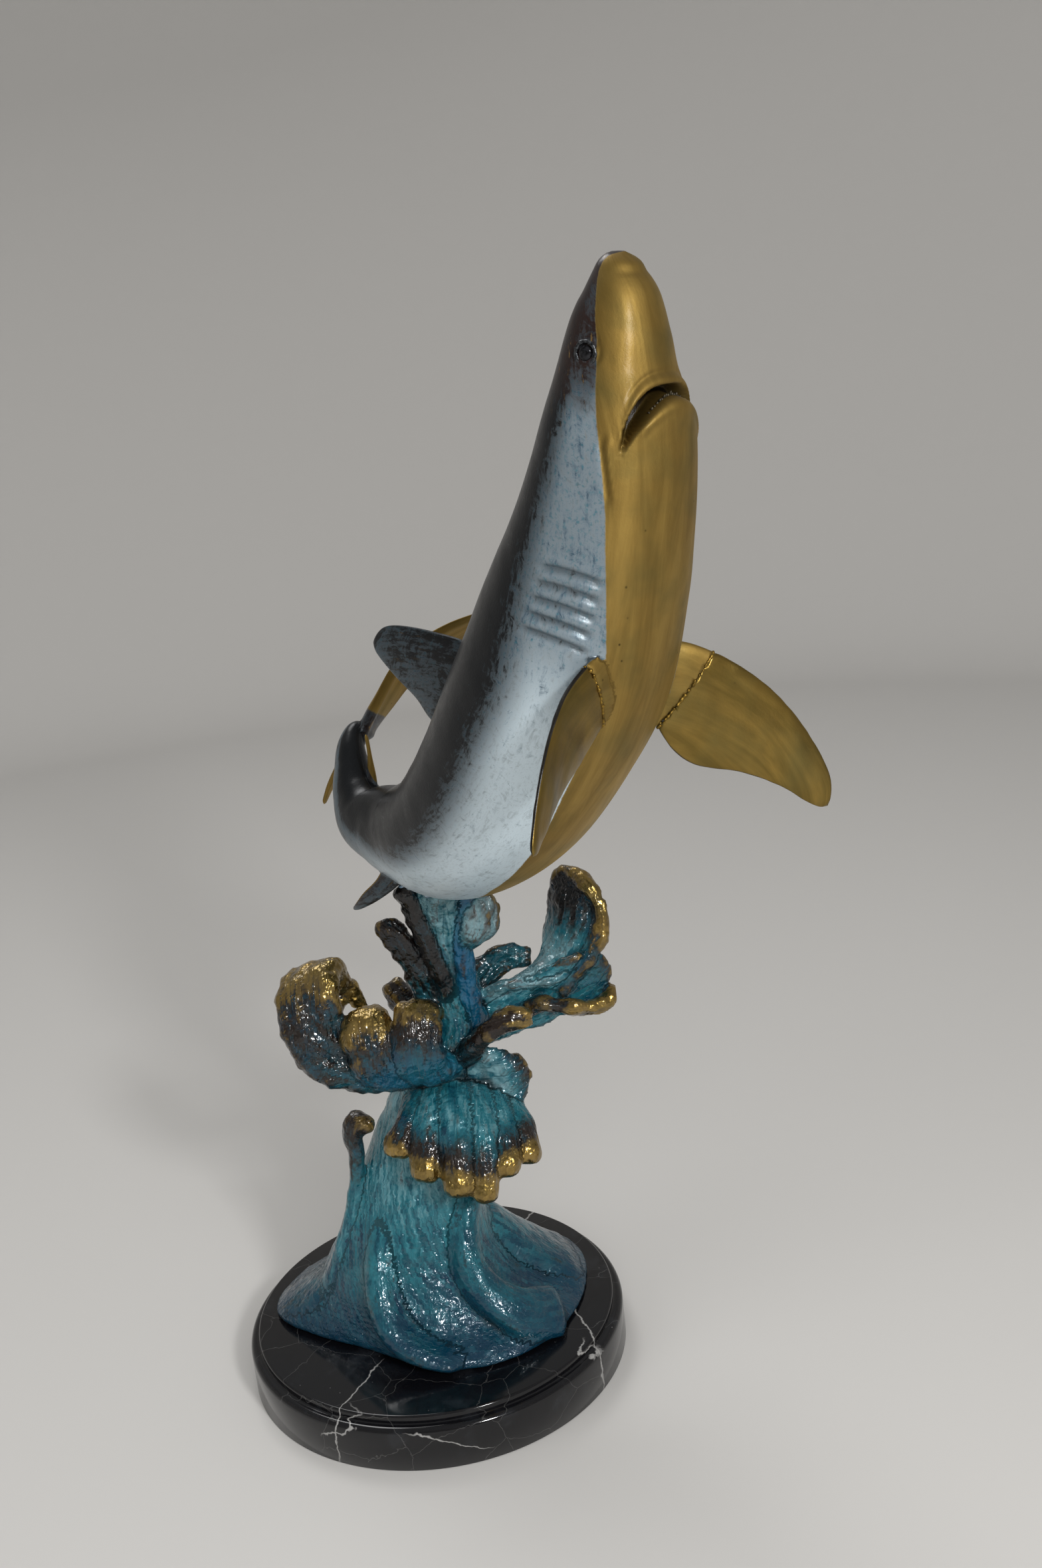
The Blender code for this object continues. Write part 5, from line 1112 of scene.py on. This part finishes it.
water = joined(makeColumn(), [makeTongue(name, number) for number, name in enumerate(wave["tongues"], 1)])
melt(water, wave["grain"], wave["smoothing"])
print("wave melted:", len(water.data.polygons), "faces")

spots, links = places(water), edges(water)
index, _ = nearest(np.concatenate(waveCloud), spots)
waveNumbers = np.concatenate(waveValues)[index]
toneValues = neighbourMean(links, waveNumbers[:, :5], 5)
flow, rim = waveNumbers[:, 5:8], waveNumbers[:, 8]
# low down the folds run into each other
low = 1 - ease(plateau + 100, plateau + 165, spots[:, 2])
spots = neighbourMean(links, spots, 26, 0.8 * low)
place(water, spots)
# drawn crags along the flow, hammered lumps and torn rims
drawnFlow = flow * (1 / np.array(wave["cragSize"]))
crag = np.array([1 - 2.6 * abs(noise.noise(Vector(p))) for p in drawnFlow])
fineCrag = np.array([1 - 2.6 * abs(noise.noise(Vector(p) * 2.1 + Vector((5, 5, 5)))) for p in drawnFlow])
crag = neighbourMean(links, crag + 0.45 * fineCrag, 1)
high = ease(plateau + 150, plateau + 220, spots[:, 2])
cragHeight, lumpHeight, knockHeight = (wave[name][0] + wave[name][1] * high
                                       for name in ("cragHeight", "lumpHeight", "knockHeight"))
lift = cragHeight * crag + lumpHeight * roughness(spots, wave["lumpSize"], 3.0)
lift += knockHeight * roughness(spots, wave["knockSize"], 9.0)
lift += high * ease(0.6, 1.0, rim) * wave["rimHeight"] * roughness(spots, wave["rimSize"], 21.0)
steady = ease(plateau + 1, plateau + 8, spots[:, 2])
spots = spots + normals(water) * (lift * steady)[:, None]
place(water, spots)
clip(water, (0, 0, plateau + 0.3), (0, 0, -1))
combine(water, newObject("shark_cut", body.data.copy()), "DIFFERENCE")
keepLargest(water)
newSpots, links = places(water), edges(water)
index, _ = nearest(spots, newSpots)
place(water, insideNode("wave_casting", newSpots))
mean = neighbourMean(links, newSpots, 3)
ridge = neighbourMean(links, ((newSpots - mean) * normals(water)).sum(-1), 2)
# how far a point lies in a valley between the tongues, from 0 to 1, where the material paints shade
wide = neighbourMean(links, newSpots, 24)
valley = neighbourMean(links, -((newSpots - wide) * normals(water)).sum(-1), 3)
valley = ease(0.2, 2.6, valley)
tones = dict(zip(("gold", "brown", "blue", "pale", "dark"), toneValues[index].T))
store(water, **tones, ridge=ridge, hollow=valley, flow=flow[index])
finished(water, waveFinish, "sea_patina", "wave_casting")
print("wave made:", len(water.data.polygons), "faces")

# weld beads where the wave's top carries the belly, and round the pectoral fins' seams
welds = {"belly": {"gap": 6.0, "radius": 3.0, "spread": 1.3, "lump": 9.0, "grain": 1.3},
         "fin": {"gap": 2.2, "radius": 1.5, "spread": 0.7, "lump": 5.0, "grain": 0.8},
         "bellyReach": 3.0, "bellyFrom": 330.0, "finSink": 0.2}


def weldBead(name, seamSpots, sink, bead, finish, slot):
    chosen = []
    for p in seamSpots:
        if all(np.linalg.norm(p - q) > bead["gap"] for q in chosen):
            chosen.append(p - sink)
    sizes = [bead["radius"] + bead["spread"] * noise.noise(Vector(p) / bead["lump"]) for p in chosen]
    finished(lumps(name, chosen, sizes, bead["grain"]), finish, slot)


_, away = nearest(bodySpots, newSpots)
contact = newSpots[(away < welds["bellyReach"]) & (newSpots[:, 2] > plateau + welds["bellyFrom"])]
weldBead("shark_weld_beads", contact, 0.0, welds["belly"], weldFinish, "sea_patina")
for name, ring, out in fittedFins:
    weldBead(f"{name}_fin_weld", ring, out * welds["finSink"], welds["fin"], dressedFinish, "polished_bronze")
print("welds made")

marble = {
    "radius": 165.0, "wall": 38.0, "wallRound": 5.0, "stepInset": 8.0, "stepRound": 2.0, "segments": 256,
    "studs": 3, "studCircle": 62.0, "firstStud": 30.0, "hole": 4.6, "pocket": 13.0, "pocketDepth": 17.0,
    "sharpFrom": 50.0,
}


def roundedEdge(radius, top, rounding, steps):
    angles = np.linspace(0, math.pi / 2, steps)
    return [(radius - rounding * (1 - math.cos(a)), top - rounding * (1 - math.sin(a))) for a in angles]


upright, sideways = np.array([0.0, 0.0, 1.0]), np.array([1.0, 0.0, 0.0])
step = marble["radius"] - marble["stepInset"]
profile = [(marble["radius"] - 1, 0), (marble["radius"], 1)]
profile += roundedEdge(marble["radius"], marble["wall"], marble["wallRound"], 9)
profile += [(step + 0.8, marble["wall"]), (step, marble["wall"] + 0.6)]
profile += roundedEdge(step, plateau, marble["stepRound"], 7) + [(step * 0.6, plateau), (step * 0.2, plateau)]
stone = roundPiece("marble_base_turned", profile, np.zeros(3), upright, sideways, marble["segments"])
for i in range(marble["studs"]):
    angle = math.radians(marble["firstStud"]) + tau * i / marble["studs"]
    at = marble["studCircle"] * np.array([math.cos(angle), math.sin(angle), 0.0])
    for radius, height in ((marble["hole"], plateau + 1), (marble["pocket"], marble["pocketDepth"])):
        cut = roundPiece("cut", [(radius, -1), (radius, height)], at, upright, sideways, 48)
        combine(stone, cut, "DIFFERENCE")
finished(stone, marbleFinish, "black_marble", "marble_base")
stone.data.set_sharp_from_angle(angle=math.radians(marble["sharpFrom"]))
for name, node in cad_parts.items():
    if name.startswith(("wave_stud", "stud_")):
        for slot in node.material_slots:
            slot.material = zincFinish
print("base made")

studio = {
    "floor": "#C6C4C1", "flat": 2.6, "wall": 3.6, "height": 2.6, "curveRings": 14, "segments": 96,
    "world": "#EDEDEB", "worldStrength": 0.33,
    # lamps: place, where it points, size, power, whether it is mirrored in gloss
    "lamps": {"key": ((1.0, -2.0, 1.5), (0.05, -0.05, 0.45), 0.28, 32.0, True),
              "front": ((0.5, -2.3, 1.7), (0.0, 0.0, 0.4), 2.0, 32.0, False),
              "fill": ((-1.8, -1.2, 1.3), (0.0, 0.0, 0.45), 1.6, 14.0, False),
              "rim": ((-0.6, 1.4, 2.9), (0.0, 0.0, 0.5), 1.2, 24.0, True)},
    # camera: place, the picture's right and up, lens and sensor width in millimetres
    "camera": ((0.123, -1.200, 0.841), (0.99445, -0.02812, -0.10140), (0.10522, 0.26576, 0.95828),
               35.404, 36.0),
}
# a round floor that curves up into a wall, so that no edge shows
bend = studio["wall"] - studio["flat"]
curve = [(studio["flat"] + bend * math.sin(a), studio["height"] * (1 - math.cos(a)))
         for a in np.linspace(0, math.pi / 2, studio["curveRings"])]
bearings = [tau * i / studio["segments"] for i in range(studio["segments"])]
work = bmesh.new()
loops = [[work.verts.new((r * math.cos(a), r * math.sin(a), z)) for a in bearings] for r, z in curve]
for low, high in zip(loops, loops[1:]):
    for i in range(-1, len(bearings) - 1):
        work.faces.new((low[i], low[i + 1], high[i + 1], high[i]))
work.faces.new(loops[0])
bmesh.ops.recalc_face_normals(work, faces=work.faces)
mesh = bpy.data.meshes.new("studio_floor")
work.to_mesh(mesh)
work.free()
floor = newObject("studio_floor", mesh)
floor.data.shade_smooth()
# Painted studio floor: a flat warm white
floorFinish, tree, shader = newMaterial("matt_floor_paint")
setInputs(tree, shader, {"Base Color": linear(studio["floor"]), "Roughness": 0.85, "Specular IOR Level": 0.2})
floor.data.materials.append(floorFinish)

scene = bpy.context.scene
scene.world = bpy.data.worlds.new("soft_room")
scene.world.use_nodes = True
tree = scene.world.node_tree
setInputs(tree, tree.nodes["Background"],
          {"Color": linear(studio["world"]), "Strength": studio["worldStrength"]})
for name, (at, aim, size, power, inGloss) in studio["lamps"].items():
    lamp = bpy.data.lights.new(name, "AREA")
    lamp.shape = "SQUARE"
    lamp.size, lamp.energy = size, power
    holder = newObject(name, lamp)
    holder.location = at
    holder.visible_glossy = inGloss
    holder.rotation_euler = (Vector(aim) - Vector(at)).to_track_quat("-Z", "Y").to_euler()

at, across, upward, focal, sensor = studio["camera"]
lens = bpy.data.cameras.new("camera")
lens.sensor_width, lens.lens = sensor, focal
lens.clip_end = 50.0
scene.camera = newObject("camera", lens)
across, upward = Vector(across), Vector(upward)
turn = Matrix((across, upward, across.cross(upward))).transposed()
scene.camera.matrix_world = Matrix.Translation(at) @ turn.to_4x4()
scene.view_settings.view_transform = "Standard"
